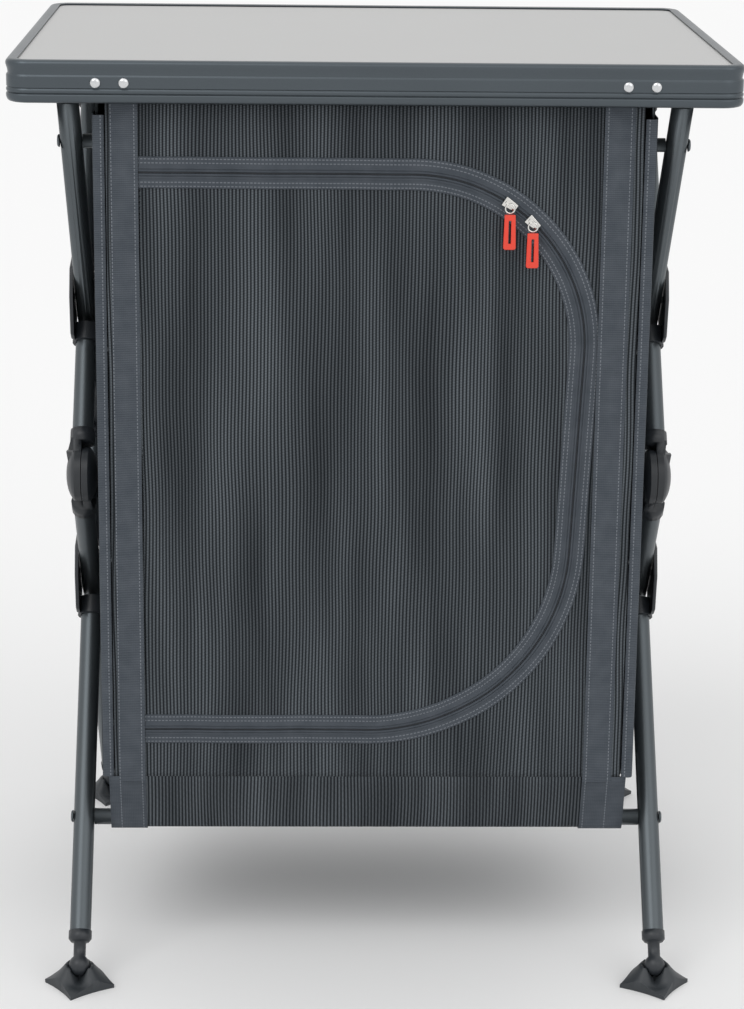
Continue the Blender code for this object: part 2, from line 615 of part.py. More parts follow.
def make_rear_end_fitting(name, side, parent):
    """The cap on the end of a rear top tube, with the lug that holds the rear axle."""
    x = side * FRAME_HALF_SPACING
    width = 2 * (TUBE_RADIUS - FIT)
    lug_reach = CROSS_PIN_RADIUS + 2 * HUB_CHEEK
    outline = [
        (TOP_ARM - lug_reach, -lug_reach), (TOP_ARM + lug_reach, -lug_reach),
        (TOP_ARM + lug_reach, HUB_OFFSET), (TOP_ARM - lug_reach, HUB_OFFSET),
    ]
    lug = rounded(flat_outline(outline, width), HUB_CHEEK / 2)
    adopt(name, lug, BLACK_PLASTIC, (x, 0.0, 0.0), parent)
    cap_start = TOP_ARM - lug_reach - HUB_SOCKET_LENGTH / 2
    cap_end = TOP_ARM + lug_reach
    cap = cylinder(HUB_SOCKET_RADIUS - HUB_CHEEK / 3, cap_end - cap_start)
    place = (x, (cap_start + cap_end) / 2, HUB_OFFSET)
    combine(lug, helper(name + "_cap", cap, place, ALONG_Y, parent), "UNION")
    drill = cylinder(TUBE_RADIUS + FIT / 2, cap_end - cap_start)
    place = (x, (cap_start + cap_end) / 2 - COLLAR_FLOOR, HUB_OFFSET)
    combine(lug, helper(name + "_bore", drill, place, ALONG_Y, parent), "DIFFERENCE")
    hole = cylinder(CROSS_PIN_RADIUS + FIT, 4 * TUBE_RADIUS, SMALL_STEPS)
    combine(lug, helper(name + "_axle_hole", hole, (x, TOP_ARM, 0.0), ALONG_X, parent), "DIFFERENCE")
    return cap_end - COLLAR_FLOOR - FIT


def make_foot_stem(name, side, direction, along, height, parent):
    """The ball foot's stem: a plug in the tube, a collar, a neck and the ball."""
    x = side * FRAME_HALF_SPACING
    collar_top = STEM_REACH
    collar_bottom = STEM_REACH - STEM_COLLAR_LENGTH
    plug = TUBE_RADIUS - TUBE_WALL - FIT
    neck_height = math.sqrt(BALL_RADIUS ** 2 - NECK_RADIUS ** 2)
    profile = [
        (0.0, collar_top + STEM_PLUG_LENGTH), (plug, collar_top + STEM_PLUG_LENGTH), (plug, collar_top + FIT),
        (STEM_COLLAR_RADIUS, collar_top), (STEM_COLLAR_RADIUS, collar_bottom + NECK_RADIUS / 2),
        (NECK_RADIUS * 1.5, collar_bottom), (NECK_RADIUS, collar_bottom - FIT),
    ]
    start = math.atan2(neck_height, NECK_RADIUS)
    for step in range(BALL_STEPS + 1):
        angle = start - (start + math.pi / 2) * step / BALL_STEPS
        profile.append((max(0.0, BALL_RADIUS * math.cos(angle)), BALL_RADIUS * math.sin(angle)))
    made = adopt(name, turned(profile, ROUND_STEPS), BLACK_PLASTIC, (x, along, height), parent)
    made.rotation_euler = (direction * math.pi / 2, 0.0, 0.0)
    return made


def make_foot_pad(name, side, place):
    """A square dished pad with the socket that the ball turns in."""
    empty = pivot(name + "_pivot", (side * FRAME_HALF_SPACING, place.y, place.z))
    shape = bmesh.new()
    bmesh.ops.create_grid(shape, x_segments=2, y_segments=2, size=PAD_SIDE / 2)
    for corner in shape.verts:
        if abs(corner.co.x) > FIT and abs(corner.co.y) > FIT:
            corner.co.z = PAD_DISH_LIFT
    grown = bmesh.ops.extrude_face_region(shape, geom=list(shape.faces))
    lowered = [item for item in grown["geom"] if isinstance(item, bmesh.types.BMVert)]
    for corner in lowered:
        corner.co.z = -PAD_THICKNESS + PAD_DISH_LIFT
    pad = mesh_from("pad", shape)
    rounded(pad, PAD_ROUNDING)
    top = PAD_THICKNESS - PAD_DISH_LIFT - place.z
    adopt(name, pad, BLACK_PLASTIC, (0.0, 0.0, top), empty)
    pad.rotation_euler = (0.0, 0.0, PAD_TURN)
    boss = cylinder(PAD_BOSS_RADIUS, PAD_BOSS_HEIGHT)
    boss_z = PAD_BOSS_HEIGHT / 2 + PAD_ROUNDING - place.z
    combine(pad, helper(name + "_boss", boss, (0.0, 0.0, boss_z), parent=empty), "UNION")
    shape = bmesh.new()
    bmesh.ops.create_uvsphere(shape, u_segments=ROUND_STEPS, v_segments=2 * BALL_STEPS, radius=BALL_RADIUS + FIT)
    socket = mesh_from("socket", shape)
    combine(pad, helper(name + "_socket", socket, parent=empty), "DIFFERENCE")
    return pad


def make_frame():
    """Both scissor side frames, with the axles and bars that tie them together."""
    long_upper = pivot("long_upper_link_pivot", FRONT_PIVOT, -OPEN_ANGLE)
    half_upper = pivot("half_upper_link_pivot", UPPER_HUB, OPEN_ANGLE)
    half_lower = pivot("half_lower_link_pivot", REAR_KNUCKLE, OPEN_ANGLE)
    long_lower = pivot("long_lower_link_pivot", LOWER_HUB, -OPEN_ANGLE)
    cross_piece("front_axle", TUBE_METAL, AXLE_RADIUS, (0.0, 0.0, 0.0), long_upper)
    cross_piece("rear_axle", TUBE_METAL, AXLE_RADIUS, (0.0, TOP_ARM, 0.0), half_upper)
    lower_y = HALF_LINK_STEP
    lower_z = LINK_OFFSET
    cross_piece("front_bar", TUBE_METAL, BAR_RADIUS, (0.0, -lower_y - BAR_ALONG, -lower_z - HUB_OFFSET), half_lower)
    cross_piece("rear_bar", TUBE_METAL, BAR_RADIUS, (0.0, REAR_BAR_ALONG, 0.0), long_lower)
    knuckle_end = KNUCKLE_RADIUS + KNUCKLE_CLEAR + COLLAR_FLOOR + FIT
    hub_end = HUB_SOCKET_START + COLLAR_FLOOR + FIT
    lean = KNUCKLE_STEP / 2
    for side_name, side in SIDES:
        prefix = side_name + "_"
        knee = TOP_ARM + LONG_LINK_STEP
        long_tube = tube(prefix + "upper_long_tube", side, -TUBE_TIP, knee - knuckle_end, 0.0, long_upper,
                         ((0.0, CROSS_PIN_RADIUS), (TOP_ARM, HUB_PIN_RADIUS)))
        trim_top(long_tube, side)
        make_knuckle_half(prefix + "rear_knuckle_upper", side, 1, -1.0, lean, knee, -lean, long_upper)
        make_hub(prefix + "upper_hub", side, 0.0, 0.0, half_upper)
        tube_end = make_rear_end_fitting(prefix + "rear_end_fitting", side, half_upper)
        tube(prefix + "upper_rear_tube", side, hub_end, tube_end, HUB_OFFSET, half_upper, ())
        knee = -HALF_LINK_STEP
        tube(prefix + "upper_front_tube", side, knee + knuckle_end, -hub_end, -HUB_OFFSET, half_upper, ())
        make_knuckle_half(prefix + "front_knuckle_upper", side, 1, 1.0, lean, knee, -LINK_OFFSET, half_upper)
        make_knuckle_half(prefix + "rear_knuckle_lower", side, -1, -1.0, -lean, 0.0, 0.0, half_lower)
        tube(prefix + "lower_rear_tube", side, -lower_y + hub_end, -knuckle_end, -lean, half_lower, ())
        make_hub(prefix + "lower_hub", side, -lower_y, -lower_z, half_lower)
        front_height = -lower_z - HUB_OFFSET
        front_end = -lower_y - LOWER_ARM
        tube(prefix + "lower_front_tube", side, front_end + STEM_REACH + FIT, -lower_y - hub_end, front_height,
             half_lower, ((-lower_y - BAR_ALONG, CROSS_PIN_RADIUS),))
        make_foot_stem(prefix + "front_foot_stem", side, -1.0, front_end, front_height, half_lower)
        knee = -LONG_LINK_STEP
        make_knuckle_half(prefix + "front_knuckle_lower", side, -1, 1.0, -lean, knee, lean, long_lower)
        tube(prefix + "lower_long_tube", side, knee + knuckle_end, REAR_LEG_ARM - STEM_REACH - FIT, 0.0, long_lower,
             ((0.0, HUB_PIN_RADIUS), (REAR_BAR_ALONG, CROSS_PIN_RADIUS)))
        make_foot_stem(prefix + "rear_foot_stem", side, 1.0, REAR_LEG_ARM, 0.0, long_lower)
        make_foot_pad(prefix + "front_foot_pad", side, FRONT_FOOT)
        make_foot_pad(prefix + "rear_foot_pad", side, REAR_FOOT)


def door_outline(grow):
    """The D shape of the door in (x, z), grown outwards by the length given, anticlockwise."""
    points = [(DOOR_LEFT, DOOR_BOTTOM - grow)]
    quarter = math.radians(90.0)
    bends = ((LOWER_BEND, DOOR_LOWER_CORNER, -quarter, DOOR_LEAN), (UPPER_BEND, DOOR_CORNER, DOOR_LEAN, quarter))
    for centre, corner, start, end in bends:
        for step in range(2 * CORNER_STEPS + 1):
            angle = start + (end - start) * step / (2 * CORNER_STEPS)
            reach = corner + grow
            points.append((centre.x + reach * math.cos(angle), centre.z + reach * math.sin(angle)))
    points.append((DOOR_LEFT, DOOR_TOP + grow))
    return points


def upright_sheet(outlines, thickness):
    """A sheet in the XZ plane from outlines; the second and later ones are holes. Its back is at Y = 0."""
    curve = bpy.data.curves.new("sheet", "CURVE")
    curve.dimensions = "2D"
    curve.fill_mode = "BOTH"
    curve.extrude = thickness / 2
    for outline in outlines:
        spline = curve.splines.new("POLY")
        spline.points.add(len(outline) - 1)
        for point, (x, z) in zip(spline.points, outline):
            point.co = (x, z, 0.0, 1.0)
        spline.use_cyclic_u = True
    flat = bpy.data.objects.new("sheet", curve)
    CUTTER_COLLECTION.objects.link(flat)
    flat.rotation_euler = ALONG_Y
    flat.location = (0.0, -thickness / 2, 0.0)
    bpy.context.view_layer.update()
    data = bpy.data.meshes.new_from_object(flat.evaluated_get(bpy.context.evaluated_depsgraph_get()))
    data.transform(flat.matrix_world)
    shape = bmesh.new()
    shape.from_mesh(data)
    bmesh.ops.remove_doubles(shape, verts=shape.verts, dist=FIT / 10)
    bpy.data.objects.remove(flat, do_unlink=True)
    return mesh_from("sheet", shape)


def offset_band(inner, outer):
    """An open band between two outlines that share their start and end sides."""
    return outer + list(reversed(inner))


def make_front():
    """The front panel with its D opening, the door in it, and the zip's two tapes."""
    frame = [
        (-PANEL_HALF_WIDTH, PANEL_BOTTOM), (PANEL_HALF_WIDTH, PANEL_BOTTOM),
        (PANEL_HALF_WIDTH, PANEL_TOP), (-PANEL_HALF_WIDTH, PANEL_TOP),
    ]
    panel = upright_sheet([frame, door_outline(ZIP_GAP / 2)], CLOTH)
    adopt("front_panel", panel, CLOTH_DARK, (0.0, PANEL_Y, 0.0))
    door_hinge = pivot("door_pivot", (DOOR_LEFT, PANEL_Y - CLOTH - TAPE_THICKNESS, 0.0))
    shift = [(x - DOOR_LEFT + FIT, z) for x, z in door_outline(-ZIP_GAP / 2)]
    adopt("door", upright_sheet([shift], CLOTH), CLOTH_DARK, (0.0, CLOTH + TAPE_THICKNESS, 0.0), door_hinge)
    outer = offset_band(door_outline(ZIP_GAP / 2), door_outline(ZIP_GAP / 2 + ZIP_TAPE))
    tape = upright_sheet([outer], TAPE_THICKNESS)
    adopt("zip_outer_tape", tape, WEBBING, (0.0, PANEL_Y - CLOTH - FIT, 0.0))
    inner = offset_band(door_outline(-ZIP_GAP / 2 - ZIP_TAPE), door_outline(-ZIP_GAP / 2))
    shift = [(x - DOOR_LEFT + FIT, z) for x, z in inner]
    tape = upright_sheet([shift], TAPE_THICKNESS)
    adopt("zip_inner_tape", tape, WEBBING, (0.0, TAPE_THICKNESS - FIT, 0.0), door_hinge)


def make_zip_pulls():
    """Two sliders on the upper bend of the zip, each with a red pull hanging from its nose."""
    radius = DOOR_CORNER
    centre = Vector((UPPER_BEND.x, PANEL_Y, UPPER_BEND.z))
    for name, angle in (("upper", UPPER_SLIDER_ANGLE), ("lower", LOWER_SLIDER_ANGLE)):
        empty = pivot(name + "_slider_pivot", centre)
        slider = rounded(block(SLIDER_LENGTH, SLIDER_THICKNESS, SLIDER_WIDTH), SLIDER_THICKNESS / 4)
        out = -CLOTH - TAPE_THICKNESS - 2 * FIT - SLIDER_THICKNESS / 2
        x = radius * math.cos(angle)
        z = radius * math.sin(angle)
        adopt("zip_%s_slider" % name, slider, STEEL, (x, out, z), empty)
        slider.rotation_euler = (0.0, math.pi / 2 - angle, 0.0)
        front = out - SLIDER_THICKNESS / 2 - FIT - PULL_THICKNESS / 2
        hinge = pivot(name + "_pull_pivot", centre + Vector((x, front, z - PULL_HANG)))
        half = PULL_WIDTH / 2
        chamfer = PULL_THICKNESS / 2
        top = PULL_THICKNESS / 4
        end = top - PULL_LENGTH
        outline = [(-half, top), (-half, end + chamfer), (-half + chamfer, end)]
        outline += [(half - chamfer, end), (half, end + chamfer), (half, top)]
        slot_half = PULL_SLOT_WIDTH / 2
        slot_top = (top + end + PULL_SLOT_LENGTH) / 2
        slot_bottom = slot_top - PULL_SLOT_LENGTH
        slot = [(-slot_half, slot_bottom), (slot_half, slot_bottom), (slot_half, slot_top), (-slot_half, slot_top)]
        pull = upright_sheet([outline, slot], PULL_THICKNESS)
        adopt("zip_%s_pull" % name, pull, PULL_RED, (0.0, PULL_THICKNESS / 2, 0.0), hinge)


def swept_sheet(path, low, high, axis, thickness):
    """An open sheet: a path in two axes swept along the third, thickened to both sides."""
    shape = bmesh.new()
    rows = []
    for level in (low, high):
        if axis == "Z":
            rows.append([shape.verts.new((a, b, level)) for a, b in path])
        else:
            rows.append([shape.verts.new((level, a, b)) for a, b in path])
    for first in range(len(path) - 1):
        shape.faces.new((rows[0][first], rows[0][first + 1], rows[1][first + 1], rows[1][first]))
    data = bpy.data.meshes.new("swept")
    shape.to_mesh(data)
    shape.free()
    made = bpy.data.objects.new("swept", data)
    solid = made.modifiers.new("thickness", "SOLIDIFY")
    solid.thickness = thickness
    solid.offset = 0.0
    solid.use_even_offset = True
    return made


def make_wrap():
    """The side and back walls of the cabinet, one length of cloth with soft upright folds.

    The axles pass through holes in the sides, and the rails through notches in the back.
    """
    front = PANEL_Y + FIT
    low = PANEL_BOTTOM
    high = PANEL_TOP - WRAP_TOP_GAP
    half = WRAP_HALF_WIDTH
    count = len(FOLD_SHARES) - 1
    side = [(-half + FOLD_DEPTH * share, front + (WRAP_BACK - front) * step / count)
            for step, share in enumerate(FOLD_SHARES)]
    back = [(-half + 2 * half * step / count, WRAP_BACK - FOLD_DEPTH * share)
            for step, share in enumerate(FOLD_SHARES)]
    other = [(-x, y) for x, y in reversed(side)]
    path = side + back[1:-1] + other
    wrap = adopt("cabinet_wrap", swept_sheet(path, low, high, "Z", CLOTH), CLOTH_DARK)
    for name, place in (("front", FRONT_PIVOT), ("rear", REAR_PIVOT)):
        bore = cylinder(AXLE_RADIUS + WRAP_AXLE_GAP, 2 * (WRAP_HALF_WIDTH + OVERRUN))
        combine(wrap, helper("wrap_%s_axle_hole" % name, bore, place, ALONG_X), "DIFFERENCE")
    notch_height = high - PIVOT_HEIGHT
    for side_name, side in SIDES:
        notch = block(RAIL_WIDTH + 2 * FIT, 4 * FOLD_DEPTH, notch_height)
        place = (side * RAIL_CENTRE, WRAP_BACK, PIVOT_HEIGHT + AXLE_RADIUS + notch_height / 2)
        combine(wrap, helper(side_name + "_wrap_notch", notch, place), "DIFFERENCE")


def arc_points(centre, radius, start, end, steps):
    points = []
    for step in range(steps + 1):
        angle = math.radians(start + (end - start) * step / steps)
        points.append((centre.y + radius * math.cos(angle), centre.z + radius * math.sin(angle)))
    return points


def leaving_angle(place, centre, radius, side):
    """The angle on a circle at which a straight line from the place meets it as a tangent."""
    reach = math.hypot(centre.y - place[0], centre.z - place[1])
    towards = math.degrees(math.atan2(centre.z - place[1], centre.y - place[0]))
    spread = math.degrees(math.asin(radius / reach))
    return (towards - side * (spread + 90.0)) % 360.0


def make_sling():
    """The bottom cloth: down from the front panel, round the front bar, across to the rear bar and up."""
    radius = BAR_RADIUS + CLOTH + FIT
    start = (PANEL_Y - CLOTH / 2, PANEL_BOTTOM - FIT)
    end = (WRAP_BACK, PANEL_BOTTOM - CLOTH / 2 - FIT)
    middle = ((FRONT_BAR.y + REAR_BAR.y) / 2, FRONT_BAR.z - radius - SLING_SAG)
    front_on = leaving_angle(start, FRONT_BAR, radius, 1)
    front_off = leaving_angle(middle, FRONT_BAR, radius, -1)
    rear_on = leaving_angle(middle, REAR_BAR, radius, 1)
    rear_off = leaving_angle(end, REAR_BAR, radius, -1)
    if rear_off < rear_on:
        rear_off += 360.0
    front = arc_points(FRONT_BAR, radius, front_on, front_off, 2 * CORNER_STEPS)
    rear = arc_points(REAR_BAR, radius, rear_on, rear_off, 2 * CORNER_STEPS)
    path = [start] + front + [middle] + rear + [end]
    sling = swept_sheet(path, -SLING_HALF_WIDTH, SLING_HALF_WIDTH, "X", CLOTH)
    adopt("bottom_sling", sling, CLOTH_DARK)


def make_boards():
    """Three stiff boards that carry what is stored."""
    front = PANEL_Y + FIT
    back = WRAP_BACK - FOLD_DEPTH - CLOTH / 2 - FIT
    half = WRAP_HALF_WIDTH - FOLD_DEPTH - CLOTH / 2 - FIT
    heights = (
        ("upper_shelf", TABLE_HEIGHT - UPPER_SHELF_DROP), ("lower_shelf", TABLE_HEIGHT - LOWER_SHELF_DROP),
        ("bottom_board", PANEL_BOTTOM + BOARD_SHEET),
    )
    for name, height in heights:
        board = rounded(block(2 * half, back - front, BOARD_SHEET), BOARD_SHEET / 4, 1)
        adopt(name, board, SHELF_GREY, (0.0, (front + back) / 2, height))


make_table_rim()
make_table_board()
make_front_rivets()
make_rails()
make_frame()
make_front()
make_zip_pulls()
make_wrap()
make_sling()
make_boards()
bpy.context.view_layer.update()
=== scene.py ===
# Folding camp kitchen cupboard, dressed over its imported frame: a framed table top on two double
# scissor side frames, with a zipped cabinet of ribbed mesh cloth hung between them.
import math

import bmesh
import bpy
from mathutils import Matrix, Vector


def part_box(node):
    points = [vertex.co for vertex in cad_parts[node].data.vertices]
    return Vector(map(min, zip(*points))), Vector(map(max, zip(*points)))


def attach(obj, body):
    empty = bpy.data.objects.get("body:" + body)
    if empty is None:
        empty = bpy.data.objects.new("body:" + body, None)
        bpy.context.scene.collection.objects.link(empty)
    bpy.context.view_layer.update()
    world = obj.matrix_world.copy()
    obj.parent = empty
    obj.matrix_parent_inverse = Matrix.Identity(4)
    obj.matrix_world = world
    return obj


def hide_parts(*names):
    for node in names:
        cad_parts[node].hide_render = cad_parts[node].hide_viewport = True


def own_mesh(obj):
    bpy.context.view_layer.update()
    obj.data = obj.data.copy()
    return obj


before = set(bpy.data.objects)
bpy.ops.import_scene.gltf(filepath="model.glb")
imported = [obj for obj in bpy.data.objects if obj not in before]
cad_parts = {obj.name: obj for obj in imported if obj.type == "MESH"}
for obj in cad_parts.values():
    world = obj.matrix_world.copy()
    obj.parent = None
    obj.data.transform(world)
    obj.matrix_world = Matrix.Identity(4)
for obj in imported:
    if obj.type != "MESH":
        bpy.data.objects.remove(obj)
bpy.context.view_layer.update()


# Studio. The camera stands in front of the cupboard, a little to its left, and looks down at it.
# The floor is pale and lit by a bright room and three wide soft lamps, so metal shows pale too.
CAMERA_PLACE = (-0.0614, -2.4965, 1.1070)
CAMERA_DOWN = math.radians(16.2055)
CAMERA_ROLL = math.radians(0.6725)
CAMERA_YAW = math.radians(-1.5325)
PHOTO_FOCAL_PIXELS = 2757.6
PHOTO_HEIGHT_PIXELS = 1009.0
FLOOR_REACH = 30.0
FLOOR_COLOUR = (0.92, 0.92, 0.92, 1.0)
ROOM_COLOUR = (0.90, 0.90, 0.90, 1.0)
ROOM_LIGHT = 0.84
LAMPS = (
    ("key_lamp", -38.0, 50.0, 0.62, 40.0),
    ("fill_lamp", 42.0, 38.0, 0.36, 50.0),
    ("back_lamp", 170.0, 60.0, 0.20, 60.0),
)


def add_node(tree, kind, inputs=None, **settings):
    """A shader node with its settings, and values or links for its inputs."""
    node = tree.nodes.new(kind)
    for key, value in settings.items():
        setattr(node, key, value)
    for key, value in (inputs or {}).items():
        if isinstance(value, bpy.types.NodeSocket):
            tree.links.new(value, node.inputs[key])
        else:
            node.inputs[key].default_value = value
    return node


def make_camera():
    lens = bpy.data.cameras.new("photo_camera")
    lens.sensor_width = 36.0
    lens.lens = PHOTO_FOCAL_PIXELS * lens.sensor_width / PHOTO_HEIGHT_PIXELS
    lens.clip_end = 2 * FLOOR_REACH
    camera = bpy.data.objects.new("photo_camera", lens)
    turn = Matrix.Rotation(CAMERA_YAW, 3, "Z") @ Matrix.Rotation(math.radians(90.0) - CAMERA_DOWN, 3, "X")
    camera.rotation_euler = (turn @ Matrix.Rotation(CAMERA_ROLL, 3, "Z")).to_euler()
    camera.location = CAMERA_PLACE
    bpy.context.scene.collection.objects.link(camera)
    bpy.context.scene.camera = camera


def make_floor():
    shape = bmesh.new()
    bmesh.ops.create_grid(shape, x_segments=1, y_segments=1, size=FLOOR_REACH)
    data = bpy.data.meshes.new("studio_floor")
    shape.to_mesh(data)
    shape.free()
    floor = bpy.data.objects.new("studio_floor", data)
    bpy.context.scene.collection.objects.link(floor)
    paint = bpy.data.materials.new("studio_floor_paint")
    paint.use_nodes = True
    shader = paint.node_tree.nodes["Principled BSDF"]
    shader.inputs["Base Color"].default_value = FLOOR_COLOUR
    shader.inputs["Roughness"].default_value = 0.9
    shader.inputs["Specular IOR Level"].default_value = 0.0
    data.materials.append(paint)


def make_room():
    """The room: an even pale light, and a full white where the camera or a reflection sees it."""
    room = bpy.data.worlds.new("studio_room")
    room.use_nodes = True
    tree = room.node_tree
    tree.nodes.clear()
    path = add_node(tree, "ShaderNodeLightPath").outputs
    seen = add_node(tree, "ShaderNodeMath", {0: path["Is Camera Ray"], 1: path["Is Glossy Ray"]},
                    operation="MAXIMUM")
    dim = add_node(tree, "ShaderNodeBackground", {"Color": ROOM_COLOUR, "Strength": ROOM_LIGHT})
    bright = add_node(tree, "ShaderNodeBackground", {"Color": ROOM_COLOUR, "Strength": 1.0})
    mixed = add_node(tree, "ShaderNodeMixShader", {0: seen.outputs[0], 1: dim.outputs[0], 2: bright.outputs[0]})
    add_node(tree, "ShaderNodeOutputWorld", {"Surface": mixed.outputs[0]})
    bpy.context.scene.world = room


def make_lamps():
    """Each lamp has a name, its bearing from the front, height in degrees, strength and width."""
    for name, bearing, height, strength, width in LAMPS:
        lamp = bpy.data.lights.new(name, "SUN")
        lamp.energy = strength
        lamp.angle = math.radians(width)
        holder = bpy.data.objects.new(name, lamp)
        holder.rotation_euler = (math.radians(90.0 - height), 0.0, math.radians(bearing))
        bpy.context.scene.collection.objects.link(holder)


make_camera()
make_floor()
make_room()
make_lamps()
bpy.context.scene.view_settings.view_transform = "Standard"


# Table rim: one rolled aluminium profile bent round the table and joined at the back, with a soft
# lip over the board, a flat band that takes the rivets and two rolled beads. Dark grey metallic
# coat, with a fine grain in it.
TABLE_Y = sum(corner[1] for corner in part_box("table_rim")) / 2
TABLE_HALF_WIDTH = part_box("table_rim")[1][0]
TABLE_HALF_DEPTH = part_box("table_rim")[1][1] - TABLE_Y
TABLE_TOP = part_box("table_rim")[1][2]
RIM_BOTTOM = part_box("table_rim")[0][2]
RIM_WALL = 0.0032
RIM_SHEET = 0.0015
RIM_LIP = 0.010
RIM_FLANGE = 0.014
RIM_CORNER_RADIUS = 0.020
RIM_CORNER_STEPS = 14
RIM_WELD = 0.00002
RIM_COLOUR = (0.086, 0.101, 0.113)
GLOSS_SPREAD = 0.05
RIM_FACE_SHARES = (
    (2.60, 0.010), (1.60, 0.000), (0.85, 0.010), (0.34, 0.035), (0.08, 0.075), (0.00, 0.115), (0.06, 0.145),
    (0.20, 0.185), (0.38, 0.235), (0.50, 0.290), (0.56, 0.335), (0.54, 0.350), (0.22, 0.368), (0.14, 0.388),
    (0.14, 0.640), (0.40, 0.656), (0.40, 0.664), (0.18, 0.678), (0.05, 0.704), (0.05, 0.732), (0.18, 0.760),
    (0.40, 0.774), (0.40, 0.782), (0.20, 0.792), (0.07, 0.808), (0.01, 0.836), (0.03, 0.870), (0.12, 0.912),
    (0.34, 0.952), (0.66, 0.982), (1.20, 0.998), (2.00, 1.000),
)


def start_group(name, numbers):
    """A node group with a Vector input, number inputs with their defaults, and a mask and a height out."""
    group = bpy.data.node_groups.new(name, "ShaderNodeTree")
    group.interface.new_socket(name="Vector", in_out="INPUT", socket_type="NodeSocketVector")
    for label, value in numbers:
        made = group.interface.new_socket(name=label, in_out="INPUT", socket_type="NodeSocketFloat")
        made.default_value = value
    for label in ("Mask", "Height"):
        group.interface.new_socket(name=label, in_out="OUTPUT", socket_type="NodeSocketFloat")
    return group, group.nodes.new("NodeGroupInput"), group.nodes.new("NodeGroupOutput")


def number(tree, operation, first, second=0.0, third=0.0):
    """The result of one Math node."""
    return add_node(tree, "ShaderNodeMath", {0: first, 1: second, 2: third}, operation=operation).outputs[0]


def noise(tree, vector, scale, detail, roughness=0.5):
    """A noise pattern's value over a vector."""
    sizes = {"Vector": vector, "Scale": scale, "Detail": detail, "Roughness": roughness}
    return add_node(tree, "ShaderNodeTexNoise", sizes).outputs[0]


def make_grain_group():
    """A fine grain with broad, faint clouds of handling over it."""
    group, given, result = start_group("fine_grain", (("Scale", 900.0), ("Clouds", 0.35)))
    fine = noise(group, given.outputs["Vector"], given.outputs["Scale"], 2.0, 0.6)
    broad = noise(group, given.outputs["Vector"], 14.0, 3.0)
    mixed = number(group, "MULTIPLY_ADD", number(group, "SUBTRACT", broad, fine), given.outputs["Clouds"], fine)
    group.links.new(mixed, result.inputs["Mask"])
    group.links.new(fine, result.inputs["Height"])
    return group


GRAIN = make_grain_group()


def apply_pattern(tree, group, place, sizes, dark, light, strength, depth):
    """Lays a pattern group's colours and relief on a material; gives back its shader and the mask."""
    shader = tree.nodes["Principled BSDF"]
    pattern = add_node(tree, "ShaderNodeGroup", {"Vector": place, **sizes}, node_tree=group).outputs
    mixed = add_node(tree, "ShaderNodeMix", {0: pattern["Mask"], 6: dark, 7: light}, data_type="RGBA")
    tree.links.new(mixed.outputs[2], shader.inputs["Base Color"])
    relief = {"Strength": strength, "Distance": depth, "Height": pattern["Height"]}
    tree.links.new(add_node(tree, "ShaderNodeBump", relief).outputs[0], shader.inputs["Normal"])
    return shader, pattern["Mask"]


def grained_finish(name, colour, roughness, metallic, scale, depth=0.00004, clouds=0.35, spread=0.16):
    """A coated or moulded surface: its colour and gloss vary with the grain, which also roughens it."""
    dark = tuple(part * (1.0 - spread) for part in colour) + (1.0,)
    light = tuple(min(1.0, part * (1.0 + spread)) for part in colour) + (1.0,)
    finish = bpy.data.materials.new(name)
    finish.use_nodes = True
    tree = finish.node_tree
    place = add_node(tree, "ShaderNodeTexCoord").outputs["Object"]
    shader, mask = apply_pattern(tree, GRAIN, place, {"Scale": scale, "Clouds": clouds}, dark, light, 0.6, depth)
    shader.inputs["Metallic"].default_value = metallic
    gloss = add_node(tree, "ShaderNodeMapRange", {
        "Value": mask, "From Min": 0.3, "From Max": 0.7,
        "To Min": roughness - GLOSS_SPREAD, "To Max": roughness + GLOSS_SPREAD,
    })
    tree.links.new(gloss.outputs[0], shader.inputs["Roughness"])
    return finish


def smoothed(data, angle):
    """Shades a mesh smooth up to the angle, given in degrees."""
    data.shade_smooth()
    data.set_sharp_from_angle(angle=math.radians(angle))


def piece(name, shape, finish, smooth_angle=40.0):
    """A finished piece at the origin from a bmesh."""
    data = bpy.data.meshes.new(name)
    shape.to_mesh(data)
    shape.free()
    smoothed(data, smooth_angle)
    data.materials.append(finish)
    made = bpy.data.objects.new(name, data)
    bpy.context.scene.collection.objects.link(made)
    return made


def closed_up(shape, weld):
    """Merges the points that lie within the weld of each other and turns the faces outwards."""
    bmesh.ops.remove_doubles(shape, verts=shape.verts, dist=weld)
    bmesh.ops.recalc_face_normals(shape, faces=shape.faces)


def closed_section(shape, points):
    """A closed ring of edges through the points."""
    ring = [shape.verts.new(point) for point in points]
    return [shape.edges.new((ring[step - 1], ring[step])) for step in range(len(ring))]


def made_verts(grown):
    """The points among what an operator has made."""
    return [item for item in grown if isinstance(item, bmesh.types.BMVert)]


def made_edges(grown):
    """The edges among what an operator has made."""
    return [item for item in grown if isinstance(item, bmesh.types.BMEdge)]


def extruded(shape, edges, move):
    """The edges drawn out by the move; gives back the far edges."""
    grown = bmesh.ops.extrude_edge_only(shape, edges=edges)["geom"]
    bmesh.ops.translate(shape, vec=move, verts=made_verts(grown))
    return made_edges(grown)


def spun(shape, edges, centre, axis, angle, steps):
    """The edges swung about a centre; gives back the far edges."""
    grown = bmesh.ops.spin(shape, geom=edges, cent=centre, axis=axis, angle=angle, steps=steps,
                           use_duplicate=False)
    return made_edges(grown["geom_last"])


